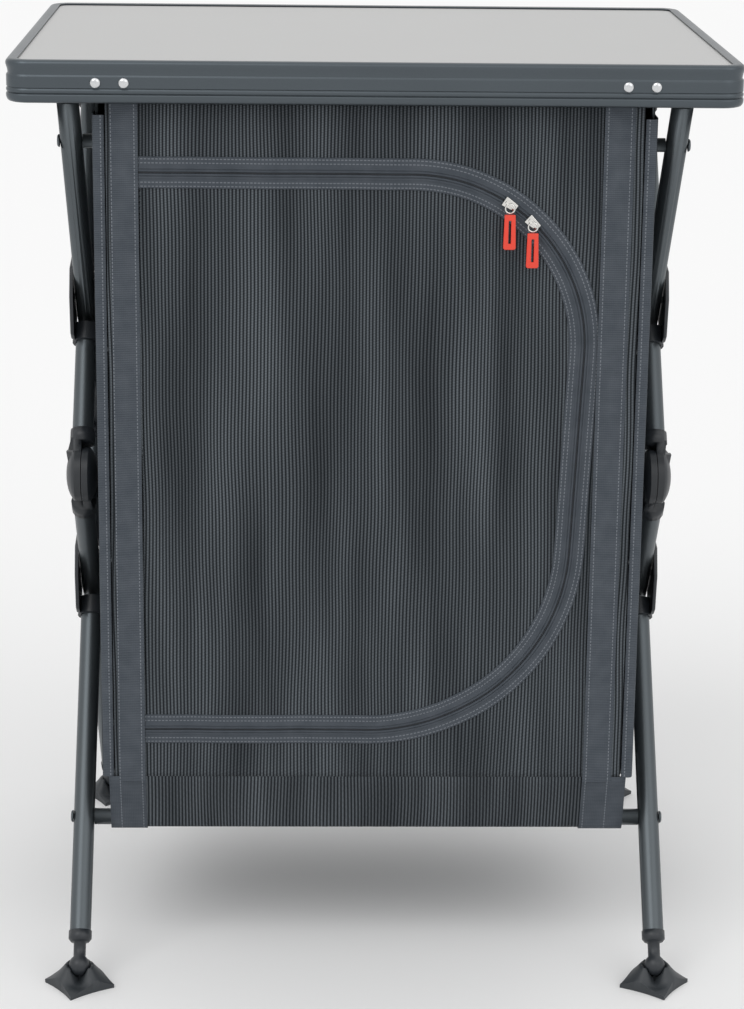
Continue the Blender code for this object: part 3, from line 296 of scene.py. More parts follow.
def rim_section():
    """The rim's section as (inward, up) from the table's outer edge and the rim's bottom."""
    height = TABLE_TOP - RIM_BOTTOM
    under_lip = height - RIM_SHEET
    face = [(share_in * RIM_WALL, height * (1.0 - share_down)) for share_in, share_down in RIM_FACE_SHARES]
    inside = [(RIM_FLANGE, 0.0), (RIM_FLANGE, RIM_SHEET), (RIM_WALL, RIM_SHEET),
              (RIM_WALL, under_lip), (RIM_LIP, under_lip), (RIM_LIP, height - RIM_SHEET / 3)]
    return face + inside


def make_table_rim():
    shape = bmesh.new()
    start_x = TABLE_HALF_WIDTH - RIM_CORNER_RADIUS
    front = TABLE_Y - TABLE_HALF_DEPTH
    section = [(-start_x, front + inward, RIM_BOTTOM + up) for inward, up in rim_section()]
    edges = closed_section(shape, section)
    run_x = 2 * start_x
    run_y = 2 * (TABLE_HALF_DEPTH - RIM_CORNER_RADIUS)
    corner = Vector((start_x, TABLE_Y - run_y / 2, 0.0))
    for run, centre in (
        (Vector((run_x, 0.0, 0.0)), corner),
        (Vector((0.0, run_y, 0.0)), corner + Vector((0.0, run_y, 0.0))),
        (Vector((-run_x, 0.0, 0.0)), corner + Vector((-run_x, run_y, 0.0))),
        (Vector((0.0, -run_y, 0.0)), corner + Vector((-run_x, 0.0, 0.0))),
    ):
        edges = extruded(shape, edges, run)
        edges = spun(shape, edges, centre, (0.0, 0.0, 1.0), math.radians(90.0), RIM_CORNER_STEPS)
    closed_up(shape, RIM_WELD)
    return piece("rolled_table_rim", shape, RIM_COAT, 55.0)


RIM_COAT = grained_finish("dark_rim_coat", RIM_COLOUR, 0.33, 0.85, scale=1400.0, depth=0.00003)
table_rim = make_table_rim()
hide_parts("table_rim")
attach(table_rim, "table")


# Table board: a pressed board with a pale grey laminate, held under the rim's lip. The laminate is
# matt, with a fine pebble and a faint speckle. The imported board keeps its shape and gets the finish.
BOARD_COLOUR = (0.490, 0.490, 0.486)
BOARD_LAMINATE = grained_finish("pale_grey_laminate", BOARD_COLOUR, 0.52, 0.0, scale=2600.0, depth=0.00005,
                                clouds=0.2, spread=0.10)


def refinish(node, finish):
    """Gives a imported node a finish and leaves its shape."""
    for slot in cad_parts[node].material_slots:
        slot.material = finish


refinish("table_board", BOARD_LAMINATE)


# Rivets: four domed rivets through the front of the rim and four through the back, bright steel.
# They hold the rails. The front ones are pieces of their own, and the back ones belong to the rails.
RIVET_HEAD_RADIUS = 0.0047
RIVET_HEAD_HEIGHT = 0.0026
RIVET_STEPS = 24
RIVET_PROFILE = ((0.0, 1.0), (0.35, 0.94), (0.66, 0.75), (0.88, 0.45), (1.0, 0.08), (0.98, -0.15))
RIVET_STEEL = grained_finish("bright_rivet_steel", (0.66, 0.67, 0.68), 0.22, 1.0, scale=700.0, spread=0.06)


def middle_of(node):
    """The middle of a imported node's box."""
    return tuple(sum(pair) / 2 for pair in zip(*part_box(node)))


def lathed(shape, edges, centre, axis, steps):
    """The edges turned all the way round an axis."""
    bmesh.ops.spin(shape, geom=edges, cent=centre, axis=axis, angle=2 * math.pi, steps=steps,
                   use_merge=True, use_duplicate=False)


def front_rivet_head(shape, node):
    """A low dome on a short rim, spun about its own axis, which points to the front."""
    middle = middle_of(node)
    centre = Vector((middle[0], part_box(node)[0][1] + RIVET_HEAD_HEIGHT, middle[2]))
    axis = Vector((0.0, -1.0, 0.0))
    side = axis.orthogonal().normalized()
    chain = [shape.verts.new(centre + side * (RIVET_HEAD_RADIUS * across) + axis * (RIVET_HEAD_HEIGHT * up))
             for across, up in RIVET_PROFILE]
    lathed(shape, [shape.edges.new(pair) for pair in zip(chain, chain[1:])], centre, axis, RIVET_STEPS)


def make_front_rivets():
    shape = bmesh.new()
    for count in range(1, 5):
        front_rivet_head(shape, "front_rivet_%d" % count)
    closed_up(shape, RIM_WELD)
    return piece("domed_front_rivets", shape, RIVET_STEEL, 60.0)


front_rivets = make_front_rivets()
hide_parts("front_rivet_1", "front_rivet_2", "front_rivet_3", "front_rivet_4")
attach(front_rivets, "table")


# Rails, leg tubes, axles and bars: drawn steel tube and folded channel with one dark grey powder
# coat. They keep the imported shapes: each piece is a copy whose seams are merged, so that the round
# of the tube shades smoothly.
TUBE_COLOUR = (0.096, 0.110, 0.119)
TUBE_COAT = grained_finish("dark_tube_coat", TUBE_COLOUR, 0.36, 0.75, scale=1100.0, depth=0.00004)
SIDES = {"left": -1, "right": 1}
COPY_WELD = 0.00001
COPY_FLAT_ANGLE = math.radians(1.5)
COPY_SMOOTH_ANGLE = 42.0
LINK_TUBES = {
    "long_upper_link": ("upper_long_tube",),
    "half_upper_link": ("upper_rear_tube", "upper_front_tube"),
    "half_lower_link": ("lower_rear_tube", "lower_front_tube"),
    "long_lower_link": ("lower_long_tube",),
}
CROSS_PIECES = {
    "front_axle": "long_upper_link", "rear_axle": "half_upper_link",
    "front_bar": "half_lower_link", "rear_bar": "long_lower_link",
}


def dressed_copy(node, finish, body, soft_edge=0.0):
    """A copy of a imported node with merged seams, soft edges and a finish, in the node's place."""
    shape = bmesh.new()
    shape.from_mesh(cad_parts[node].data)
    bmesh.ops.remove_doubles(shape, verts=shape.verts, dist=COPY_WELD)
    if soft_edge:
        bmesh.ops.dissolve_limit(shape, angle_limit=COPY_FLAT_ANGLE, verts=shape.verts, edges=shape.edges)
    made = piece(node + "_finished", shape, finish, COPY_SMOOTH_ANGLE)
    if soft_edge:
        soft = made.modifiers.new("soft_edges", "BEVEL")
        soft.width = soft_edge
        soft.segments = 2
        soft.limit_method = "ANGLE"
        soft.angle_limit = math.radians(35.0)
        soft.harden_normals = True
    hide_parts(node)
    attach(made, body)
    return made


for side_name in SIDES:
    dressed_copy(side_name + "_rail", TUBE_COAT, "table")
    for link_name, tube_names in LINK_TUBES.items():
        for tube_name in tube_names:
            dressed_copy("%s_%s" % (side_name, tube_name), TUBE_COAT, link_name)
for cross_name, link_name in CROSS_PIECES.items():
    dressed_copy(cross_name, TUBE_COAT, link_name)


# Hubs, knuckles and end fittings: glass filled nylon mouldings, near black with a soft sheen.
# The hubs ride astride the long tubes; each knuckle is two discs that turn on one pin.
BLACK_COLOUR = (0.022, 0.026, 0.031)
BLACK_NYLON = grained_finish("black_moulded_nylon", BLACK_COLOUR, 0.40, 0.0, scale=1600.0, depth=0.00005,
                             spread=0.25)
LINK_MOULDINGS = {
    "long_upper_link": ("rear_knuckle_upper",),
    "half_upper_link": ("upper_hub", "rear_end_fitting", "front_knuckle_upper"),
    "half_lower_link": ("rear_knuckle_lower", "lower_hub", "front_foot_stem"),
    "long_lower_link": ("front_knuckle_lower", "rear_foot_stem"),
}
KNUCKLE_RADIUS = 0.0240
KNUCKLE_EDGE = 0.0070
KNUCKLE_WEB_HALF = 0.0096
KNUCKLE_COLLAR_HALF = 0.0125
KNUCKLE_STEPS = 40
KNUCKLE_DOME = (
    (0.29, 0.0003), (0.29, 0.0139), (0.42, 0.0134), (0.60, 0.0124), (0.76, 0.0109), (0.88, 0.0093),
    (0.98, 0.0078), (1.03, 0.0060), (1.03, 0.0003),
)
HUB_SOFT_EDGE = 0.0006


def knuckle_pivot(node):
    """The pin's place, from the side on which the disc reaches furthest forward or back, and up or down."""
    low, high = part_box(node)
    y = low[1] + KNUCKLE_RADIUS if "front" in node else high[1] - KNUCKLE_RADIUS
    z = low[2] + KNUCKLE_RADIUS if "upper" in node else high[2] - KNUCKLE_RADIUS
    return y, z


def dome_knuckle(made, node, middle):
    """Draws in the edge of a knuckle's disc and sets a dome over it, with a hole for the pin."""
    y, z = knuckle_pivot(node)

    def reach(vert):
        """A point's distance from the pin, in radii of the disc."""
        return math.hypot(vert.co.y - y, vert.co.z - z) / KNUCKLE_RADIUS

    shape = bmesh.new()
    shape.from_mesh(made.data)
    lean = sum(vert.co.x - middle for vert in shape.verts if 0.9 < reach(vert) < 1.02)
    out = 1.0 if lean > 0.0 else -1.0
    for vert in shape.verts:
        depth = (vert.co.x - middle) * out
        if 0.9 < reach(vert) < 1.02 and depth > KNUCKLE_EDGE:
            vert.co.x = middle + out * KNUCKLE_EDGE
        elif reach(vert) > 0.9 and depth > KNUCKLE_COLLAR_HALF:
            vert.co.x = middle + out * KNUCKLE_WEB_HALF
    dome = [(middle + out * depth, y, z + share * KNUCKLE_RADIUS) for share, depth in KNUCKLE_DOME]
    lathed(shape, closed_section(shape, dome), (middle, y, z), (1.0, 0.0, 0.0), KNUCKLE_STEPS)
    closed_up(shape, COPY_WELD)
    shape.to_mesh(made.data)
    shape.free()
    smoothed(made.data, COPY_SMOOTH_ANGLE)


for side_name in SIDES:
    tube_middle = middle_of(side_name + "_upper_long_tube")[0]
    for link_name, moulding_names in LINK_MOULDINGS.items():
        for moulding_name in moulding_names:
            node = "%s_%s" % (side_name, moulding_name)
            soft_edge = HUB_SOFT_EDGE if "hub" in moulding_name or "fitting" in moulding_name else 0.0
            moulding = dressed_copy(node, BLACK_NYLON, link_name, soft_edge)
            if "knuckle" in moulding_name:
                dome_knuckle(moulding, node, tube_middle)


# Foot pads: soft black plastic pads, square with drawn out corners, that rise to a cup round the
# ball of the foot. Each is turned a little and open at the front, where the ball shows.
PAD_HALF = 0.0225
PAD_TURN = math.radians(35.0)
PAD_CORNER_REACH = 0.034
PAD_WAIST = 0.09
PAD_CUP_RADIUS = 0.0120
PAD_CUP_HEIGHT = 0.0210
PAD_CUP_STEEPNESS = 1.7
PAD_BOWL_RADIUS = 0.0102
PAD_BOWL_MIDDLE = 0.0195
PAD_EDGE = 0.0030
PAD_CELLS = 28
PAD_FACING = math.radians(-90.0)
PAD_OPENING = math.radians(62.0)
PAD_OPENING_DEPTH = 0.85
PAD_COLOUR = (0.030, 0.035, 0.040)
PAD_RUBBER = grained_finish("black_foot_plastic", PAD_COLOUR, 0.48, 0.0, scale=1300.0, depth=0.00006)


def pad_height(x, y):
    """The pad's upper face over a point measured from the ball's centre."""
    reach = math.hypot(x, y)
    slope = max(0.0, min(1.0, (PAD_CORNER_REACH - reach) / (PAD_CORNER_REACH - PAD_CUP_RADIUS)))
    height = PAD_EDGE + (PAD_CUP_HEIGHT - PAD_EDGE) * slope ** PAD_CUP_STEEPNESS
    bearing = abs((math.atan2(y, x) - PAD_FACING + math.pi) % (2 * math.pi) - math.pi)
    if bearing < PAD_OPENING:
        share = 0.5 + 0.5 * math.cos(math.pi * bearing / PAD_OPENING)
        height -= (height - PAD_EDGE) * share * min(1.0, 0.25 + slope) * PAD_OPENING_DEPTH
    if reach < PAD_CUP_RADIUS:
        drop = math.sqrt(PAD_BOWL_RADIUS ** 2 - min(reach, PAD_BOWL_RADIUS) ** 2)
        height = min(height, PAD_BOWL_MIDDLE - drop)
    return max(PAD_EDGE, height)


def make_foot_pad(side_name, end_name):
    node = "%s_%s_foot_pad" % (side_name, end_name)
    shape = bmesh.new()
    bmesh.ops.create_grid(shape, x_segments=PAD_CELLS, y_segments=PAD_CELLS, size=PAD_HALF)
    for vert in shape.verts:
        span_x = vert.co.x / PAD_HALF
        span_y = vert.co.y / PAD_HALF
        vert.co.x *= 1.0 - PAD_WAIST * (1.0 - span_y ** 2)
        vert.co.y *= 1.0 - PAD_WAIST * (1.0 - span_x ** 2)
    turn = Matrix.Rotation(-SIDES[side_name] * PAD_TURN, 3, "Z")
    bmesh.ops.rotate(shape, cent=(0.0, 0.0, 0.0), matrix=turn, verts=shape.verts)
    grown = bmesh.ops.extrude_face_region(shape, geom=list(shape.faces))
    for vert in made_verts(grown["geom"]):
        vert.co.z = pad_height(vert.co.x, vert.co.y)
    x, y, z = middle_of(node)
    bmesh.ops.translate(shape, vec=(x, y, 0.0), verts=shape.verts)
    bmesh.ops.recalc_face_normals(shape, faces=shape.faces)
    made = piece(side_name + "_" + end_name + "_moulded_pad", shape, PAD_RUBBER, 50.0)
    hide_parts(node)
    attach(made, "%s_%s_pad" % (side_name, end_name))


for side_name in SIDES:
    for end_name in ("front", "rear"):
        make_foot_pad(side_name, end_name)


# Front panel and door: ribbed mesh cloth, woven with pairs of pale threads over a dark ground, so it
# reads as upright ribs. It is cut in a D and hangs from the table, a little wavy between its hems.
PANEL_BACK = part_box("front_panel")[1][1]
PANEL_HALF_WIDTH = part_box("front_panel")[1][0]
PANEL_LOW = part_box("front_panel")[0][2]
PANEL_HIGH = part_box("front_panel")[1][2]
DOOR_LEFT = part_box("zip_outer_tape")[0][0]
ZIP_TAPE = 0.0130
ZIP_GAP = 0.0020
DOOR_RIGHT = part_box("zip_outer_tape")[1][0] - ZIP_TAPE - ZIP_GAP / 2
DOOR_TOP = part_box("zip_outer_tape")[1][2] - ZIP_TAPE - ZIP_GAP / 2
DOOR_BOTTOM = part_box("zip_outer_tape")[0][2] + ZIP_TAPE + ZIP_GAP / 2
DOOR_LOWER_TAPER = 0.0076
UPPER_BEND_RADIUS = 0.1500
LOWER_BEND_RADIUS = 0.1750
UPPER_BEND = Vector((DOOR_RIGHT - UPPER_BEND_RADIUS, 0.0, DOOR_TOP - UPPER_BEND_RADIUS))
LOWER_BEND = Vector((DOOR_RIGHT - DOOR_LOWER_TAPER - LOWER_BEND_RADIUS, 0.0, DOOR_BOTTOM + LOWER_BEND_RADIUS))
BEND_STEP = UPPER_BEND - LOWER_BEND
DOOR_LEAN = (math.asin((LOWER_BEND_RADIUS - UPPER_BEND_RADIUS) / BEND_STEP.length)
             - math.atan2(BEND_STEP.x, BEND_STEP.z))
CLOTH_THICKNESS = 0.0010
CLOTH_CELL = 0.0050
RIB_PITCH = 0.0030
THREAD_PITCH = 0.0014
CLOTH_DARK = (0.0030, 0.0045, 0.0065, 1.0)
CLOTH_PALE = (0.166, 0.188, 0.208, 1.0)
CLOTH_RELIEF = 0.00035
CLOTH_SPECULAR = 0.08
CLOTH_SHEEN = 0.03
# The broad upright bands are painted shade of the cloth's waves, laid into its colour.
BAND_SCALE = (24.0, 3.0, 1.0)
SWAY_SCALE = (9.0, 5.0, 1.0)
SWAY_REACH = 0.010
BEAD_SHIFT = 0.36
BEAD_GLOSS = (0.60, 0.46)
BAND_PAINTED_SHADE = (1.9, -0.02)
GROUND_SHARE = 0.10
WAVE_STAND_OUT = 0.0022
WIDE_WAVE = (0.0011, 0.118)
FINE_WAVE = (0.0005, 0.047)
SAG_WAVE = (0.0006, 0.33)


def swing(tree, turns, half=0.5, middle=0.5):
    """A wave that goes up and down once in each turn, about its middle value."""
    cosine = number(tree, "COSINE", number(tree, "MULTIPLY", turns, 2 * math.pi))
    return number(tree, "MULTIPLY_ADD", cosine, half, middle)


def make_rib_group():
    """Upright ribs of twin threads with beads where the cross threads pass, lightened and darkened in broad faint
    upright bands of painted shade.
    """
    sizes = (("Rib Pitch", RIB_PITCH), ("Thread Pitch", THREAD_PITCH))
    group, given, result = start_group("ribbed_mesh_weave", sizes)
    place = given.outputs["Vector"]
    broad = add_node(group, "ShaderNodeMapping", {"Vector": place, "Scale": BAND_SCALE}).outputs[0]
    sway = add_node(group, "ShaderNodeMapping", {"Vector": place, "Scale": SWAY_SCALE}).outputs[0]
    axes = add_node(group, "ShaderNodeSeparateXYZ", {0: place}).outputs
    shift = number(group, "MULTIPLY_ADD", noise(group, sway, 1.0, 1.0), SWAY_REACH, axes[0])
    turns = number(group, "DIVIDE", shift, given.outputs["Rib Pitch"])
    line = number(group, "POWER", swing(group, turns), 1.5)
    twin = swing(group, number(group, "MULTIPLY", turns, 2.0), -0.12, 0.88)
    offset = number(group, "MULTIPLY", number(group, "ROUND", turns), BEAD_SHIFT)
    beads = number(group, "DIVIDE", axes[1], given.outputs["Thread Pitch"])
    beads = swing(group, number(group, "ADD", beads, offset))
    lit = number(group, "MULTIPLY", line, number(group, "MULTIPLY_ADD", beads, *BEAD_GLOSS))
    lit = number(group, "MULTIPLY", lit, twin)
    between = number(group, "SUBTRACT", 1.0, line)
    ground = number(group, "MULTIPLY", between, number(group, "MULTIPLY", beads, GROUND_SHARE))
    both = number(group, "ADD", lit, ground)
    # Painted shade: broad upright bands lighten and darken the ribs' colour, not their relief.
    band = number(group, "MULTIPLY_ADD", noise(group, broad, 1.0, 2.0), *BAND_PAINTED_SHADE)
    group.links.new(number(group, "MULTIPLY", both, band), result.inputs["Mask"])
    group.links.new(both, result.inputs["Height"])
    return group


RIB_WEAVE = make_rib_group()


def woven_finish(name, weave, dark, pale, depth, roughness, sizes):
    """A cloth whose colour and relief follow its weave, laid out by the piece's own map in metres."""
    finish = bpy.data.materials.new(name)
    finish.use_nodes = True
    tree = finish.node_tree
    place = add_node(tree, "ShaderNodeUVMap", uv_map="cloth").outputs[0]
    shader, mask = apply_pattern(tree, weave, place, sizes, dark, pale, 1.0, depth)
    shader.inputs["Roughness"].default_value = roughness
    shader.inputs["Specular IOR Level"].default_value = CLOTH_SPECULAR
    shader.inputs["Sheen Weight"].default_value = CLOTH_SHEEN
    shader.inputs["Sheen Roughness"].default_value = 0.5
    return finish


MESH_CLOTH = woven_finish("ribbed_mesh_cloth", RIB_WEAVE, CLOTH_DARK, CLOTH_PALE, CLOTH_RELIEF, 0.72, {})


def wave(height, length, place, shift=0.0):
    """A wave's height at a place, from how high and how long it is."""
    return height * math.sin(2 * math.pi * place / length + shift)


def front_wave(x, z):
    """How far the front cloth stands out: upright waves that die away at the hems and the top."""
    edge = max(0.0, 1.0 - (abs(x) / PANEL_HALF_WIDTH) ** 6)
    hang_share = min(1.0, max(0.0, (PANEL_HIGH - z) / (PANEL_HIGH - PANEL_LOW)))
    wide = wave(*WIDE_WAVE, x, wave(0.9, 0.74, z) + 0.4)
    fine = wave(*FINE_WAVE, x, wave(1.6, 0.51, z))
    slack = wave(*SAG_WAVE, z, 3.0 * x)
    return edge * math.sin(math.pi * hang_share) ** 0.5 * (WAVE_STAND_OUT + wide + fine + slack)


def bend_point(centre, radius, angle):
    """The point of a bend of the D at an angle."""
    return Vector((centre.x + radius * math.cos(angle), 0.0, centre.z + radius * math.sin(angle)))


def nearest_on_door(x, z):
    """The nearest point of the zip's D, how far along the D it lies, and which way is out of it."""
    quarter = math.radians(90.0)
    place = Vector((x, 0.0, z))
    near_x = min(max(x, DOOR_LEFT), LOWER_BEND.x)
    found = [(Vector((near_x, 0.0, DOOR_BOTTOM)), near_x - DOOR_LEFT, Vector((0.0, 0.0, -1.0)))]
    before = LOWER_BEND.x - DOOR_LEFT
    for centre, radius, first, last in ((LOWER_BEND, LOWER_BEND_RADIUS, -quarter, DOOR_LEAN),
                                        (UPPER_BEND, UPPER_BEND_RADIUS, DOOR_LEAN, quarter)):
        angle = math.atan2(z - centre.z, x - centre.x)
        if first <= angle <= last:
            out = Vector((math.cos(angle), 0.0, math.sin(angle)))
            found.append((bend_point(centre, radius, angle), before + radius * (angle - first), out))
        before += radius * (last - first)
        if centre is LOWER_BEND:
            foot = bend_point(LOWER_BEND, LOWER_BEND_RADIUS, DOOR_LEAN)
            rise = bend_point(UPPER_BEND, UPPER_BEND_RADIUS, DOOR_LEAN) - foot
            share = min(1.0, max(0.0, (place - foot).dot(rise) / rise.length_squared))
            out = Vector((math.cos(DOOR_LEAN), 0.0, math.sin(DOOR_LEAN)))
            found.append((foot + rise * share, before + share * rise.length, out))
            before += rise.length
    near_x = min(max(x, DOOR_LEFT), UPPER_BEND.x)
    found.append((Vector((near_x, 0.0, DOOR_TOP)), before + UPPER_BEND.x - near_x, Vector((0.0, 0.0, 1.0))))
    return min(found, key=lambda item: (item[0] - place).length)


def inside_door(x, z):
    """True inside the D."""
    near, run, out = nearest_on_door(x, z)
    return x > DOOR_LEFT and (Vector((x, 0.0, z)) - near).dot(out) < 0.0


def lay_map(shape, laid_at):
    """Gives a bmesh its cloth map, in metres, from a function of a point."""
    layer = shape.loops.layers.uv.new("cloth")
    for face in shape.faces:
        for loop in face.loops:
            loop[layer].uv = laid_at(loop.vert)


def front_sheet(low_x, high_x, low_z, high_z, keep):
    """A flat grid in the panel's plane, with only the cells whose middles pass the test."""
    shape = bmesh.new()
    cells_x = round((high_x - low_x) / CLOTH_CELL)
    cells_z = round((high_z - low_z) / CLOTH_CELL)
    bmesh.ops.create_grid(shape, x_segments=cells_x, y_segments=cells_z, size=0.5)
    bmesh.ops.scale(shape, vec=(high_x - low_x, high_z - low_z, 1.0), verts=shape.verts)
    upright = Matrix.Rotation(math.radians(90.0), 3, "X")
    bmesh.ops.rotate(shape, cent=(0.0, 0.0, 0.0), matrix=upright, verts=shape.verts)
    middle = ((low_x + high_x) / 2, PANEL_BACK - CLOTH_THICKNESS / 2, (low_z + high_z) / 2)
    bmesh.ops.translate(shape, vec=middle, verts=shape.verts)
    middles = [(face, face.calc_center_median()) for face in shape.faces]
    lost = [face for face, place in middles if not keep(place.x, place.z)]
    bmesh.ops.delete(shape, geom=lost, context="FACES")
    return shape


def fit_to_zip(shape, side):
    """Draws the cut edge along the D to it, on its side, and hangs the cloth in its waves."""
    for vert in shape.verts:
        if vert.is_boundary:
            near, run, out = nearest_on_door(vert.co.x, vert.co.z)
            away = Vector((vert.co.x - near.x, 0.0, vert.co.z - near.z))
            if away.length < 1.5 * CLOTH_CELL and vert.co.x > DOOR_LEFT + 0.1 * CLOTH_CELL:
                vert.co.x = near.x + out.x * side * ZIP_GAP / 4
                vert.co.z = near.z + out.z * side * ZIP_GAP / 4
    lay_map(shape, lambda vert: (vert.co.x, vert.co.z))
    for vert in shape.verts:
        vert.co.y -= front_wave(vert.co.x, vert.co.z)
    bmesh.ops.recalc_face_normals(shape, faces=shape.faces)


def thicken(made, thickness):
    """Gives a cloth its thickness, half to each side of its sheet."""
    wall = made.modifiers.new("cloth_thickness", "SOLIDIFY")
    wall.thickness = thickness
    wall.offset = 0.0
    return made


def hang(made, node_names, body):
    """A soft piece in the place of its nodes, carried by its body, with a mesh of its own."""
    if node_names:
        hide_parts(*node_names)
    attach(made, body)
    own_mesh(made)


def make_front_cloth():
    shape = front_sheet(-PANEL_HALF_WIDTH, PANEL_HALF_WIDTH, PANEL_LOW, PANEL_HIGH,
                        lambda x, z: not inside_door(x, z))
    fit_to_zip(shape, 1)
    panel = thicken(piece("front_panel_cloth", shape, MESH_CLOTH), CLOTH_THICKNESS)
    hang(panel, ["front_panel"], "table")
    shape = front_sheet(DOOR_LEFT, DOOR_RIGHT, DOOR_BOTTOM, DOOR_TOP, inside_door)
    fit_to_zip(shape, -1)
    door = thicken(piece("door_cloth", shape, MESH_CLOTH), CLOTH_THICKNESS)
    hang(door, ["door"], "door")


make_front_cloth()


# Zip: two woven tapes sewn along the D, each folded back at its inner edge over a nylon coil, so
# that the closed zip shows two smooth ridges with the coil deep between them. Stitched twice.
TAPE_COLOUR = (0.050, 0.060, 0.073, 1.0)
TAPE_PALE = (0.210, 0.228, 0.255, 1.0)
TAPE_SECTION = (
    (0.0009, 0.0000), (0.0007, 0.0012), (0.0012, 0.0020), (0.0021, 0.0021), (0.0026, 0.0012),
    (0.0030, 0.0011), (0.0035, 0.0018), (0.0046, 0.0018), (0.0052, 0.0010), (0.0076, 0.0011),
    (0.0108, 0.0012), (0.0128, 0.0010), (0.0134, 0.0006), (0.0135, 0.0000),
)
TAPE_STEP = 0.006
ZIP_BEND_STEPS = 28
STITCH_PITCH = 0.0032
STITCH_ROWS = (0.0082, 0.0116)
STITCH_HALF_WIDTH = 0.00045
TAPE_RIB_PITCH = 0.0008
TAPE_LIFT = 0.0001
COIL_RADIUS = 0.0006
COIL_HEIGHT = 0.0007
STRIP_WELD = 0.00001


def make_tape_group():
    """A plain weave with fine ribs across and two rows of pale stitches along it."""
    sizes = (("Rib Pitch", TAPE_RIB_PITCH), ("Stitch Pitch", STITCH_PITCH),
             ("First Row", STITCH_ROWS[0]), ("Second Row", STITCH_ROWS[1]))
    group, given, result = start_group("stitched_tape_weave", sizes)
    axes = add_node(group, "ShaderNodeSeparateXYZ", {0: given.outputs["Vector"]}).outputs
    threads = []
    for axis in (axes[1], axes[0]):
        turns = number(group, "DIVIDE", axis, given.outputs["Rib Pitch"])
        sine = number(group, "SINE", number(group, "MULTIPLY", turns, 2 * math.pi))
        threads.append(number(group, "MULTIPLY_ADD", sine, 0.5, 0.5))
    weave = number(group, "MULTIPLY", threads[0], number(group, "MULTIPLY_ADD", threads[1], 0.35, 0.65))
    stitch = swing(group, number(group, "DIVIDE", axes[1], given.outputs["Stitch Pitch"]), 1.0, 0.0)
    rows = []
    for label in ("First Row", "Second Row"):
        away = number(group, "ABSOLUTE", number(group, "SUBTRACT", axes[0], given.outputs[label]))
        rows.append(number(group, "LESS_THAN", away, STITCH_HALF_WIDTH))
    in_row = number(group, "MAXIMUM", rows[0], rows[1])
    stitches = number(group, "MULTIPLY", in_row, number(group, "GREATER_THAN", stitch, -0.45))
    clouds = noise(group, given.outputs["Vector"], 60.0, 3.0)
    tone = number(group, "MULTIPLY_ADD", weave, 0.22, number(group, "MULTIPLY_ADD", clouds, 0.30, -0.10))
    mask = number(group, "ADD", tone, number(group, "MULTIPLY", stitches, 0.7))
    group.links.new(mask, result.inputs["Mask"])
    group.links.new(number(group, "MULTIPLY_ADD", stitches, 1.6, weave), result.inputs["Height"])
    return group


TAPE_WEAVE = make_tape_group()
TAPE_CLOTH = woven_finish("zip_tape_weave", TAPE_WEAVE, TAPE_COLOUR, TAPE_PALE, 0.00018, 0.70, {})


def extruded_run(shape, edges, move, step_length):
    """The edges drawn out by the move in equal steps of about a length; gives back the far edges."""
    steps = round(move.length / step_length)
    for step in range(steps):
        edges = extruded(shape, edges, move / steps)
    return edges


def swept_round_door(shape, edges):
    """Carries a section from the D's lower left end round to its upper left end."""
    quarter = math.radians(90.0)
    foot = bend_point(LOWER_BEND, LOWER_BEND_RADIUS, DOOR_LEAN)
    head = bend_point(UPPER_BEND, UPPER_BEND_RADIUS, DOOR_LEAN)
    edges = extruded_run(shape, edges, Vector((LOWER_BEND.x - DOOR_LEFT, 0.0, 0.0)), TAPE_STEP)
    edges = spun(shape, edges, LOWER_BEND, (0.0, -1.0, 0.0), quarter + DOOR_LEAN, ZIP_BEND_STEPS)
    edges = extruded_run(shape, edges, head - foot, TAPE_STEP)
    edges = spun(shape, edges, UPPER_BEND, (0.0, -1.0, 0.0), quarter - DOOR_LEAN, ZIP_BEND_STEPS)
    extruded_run(shape, edges, Vector((DOOR_LEFT - UPPER_BEND.x, 0.0, 0.0)), TAPE_STEP)


def fill_ends(shape):
    """Closes the open ends of a strip and turns its faces outwards."""
    bmesh.ops.holes_fill(shape, edges=[edge for edge in shape.edges if edge.is_boundary], sides=0)
    bmesh.ops.recalc_face_normals(shape, faces=shape.faces)


def map_on_door(vert):
    """A point's distance from the D and its way along it."""
    near, run, out = nearest_on_door(vert.co.x, vert.co.z)
    return math.hypot(vert.co.x - near.x, vert.co.z - near.z), run


def door_strip(name, section, finish):
    """A strip along the D from its section: (outwards from the path, out from the cloth)."""
    shape = bmesh.new()
    base = PANEL_BACK - CLOTH_THICKNESS - TAPE_LIFT
    points = [(DOOR_LEFT, base - out, DOOR_BOTTOM - outwards) for outwards, out in section]
    swept_round_door(shape, closed_section(shape, points))
    bmesh.ops.remove_doubles(shape, verts=shape.verts, dist=STRIP_WELD)
    fill_ends(shape)
    lay_map(shape, map_on_door)
    for vert in shape.verts:
        vert.co.y -= front_wave(vert.co.x, vert.co.z)
    return piece(name, shape, finish, 60.0)


outer_tape = door_strip("outer_zip_tape", TAPE_SECTION, TAPE_CLOTH)
hang(outer_tape, ["zip_outer_tape"], "table")
inner_tape = door_strip("inner_zip_tape", [(-outwards, out) for outwards, out in TAPE_SECTION], TAPE_CLOTH)
hang(inner_tape, ["zip_inner_tape"], "door")
COIL_NYLON = grained_finish("dark_zip_coil", (0.020, 0.024, 0.030), 0.42, 0.0, scale=500.0)
COIL_TURNS = [math.radians(turn) for turn in range(0, 360, 45)]
COIL_SECTION = [(COIL_RADIUS * math.cos(turn), COIL_HEIGHT + COIL_RADIUS * math.sin(turn)) for turn in COIL_TURNS]
zip_coil = door_strip("zip_coil", COIL_SECTION, COIL_NYLON)
hang(zip_coil, [], "table")


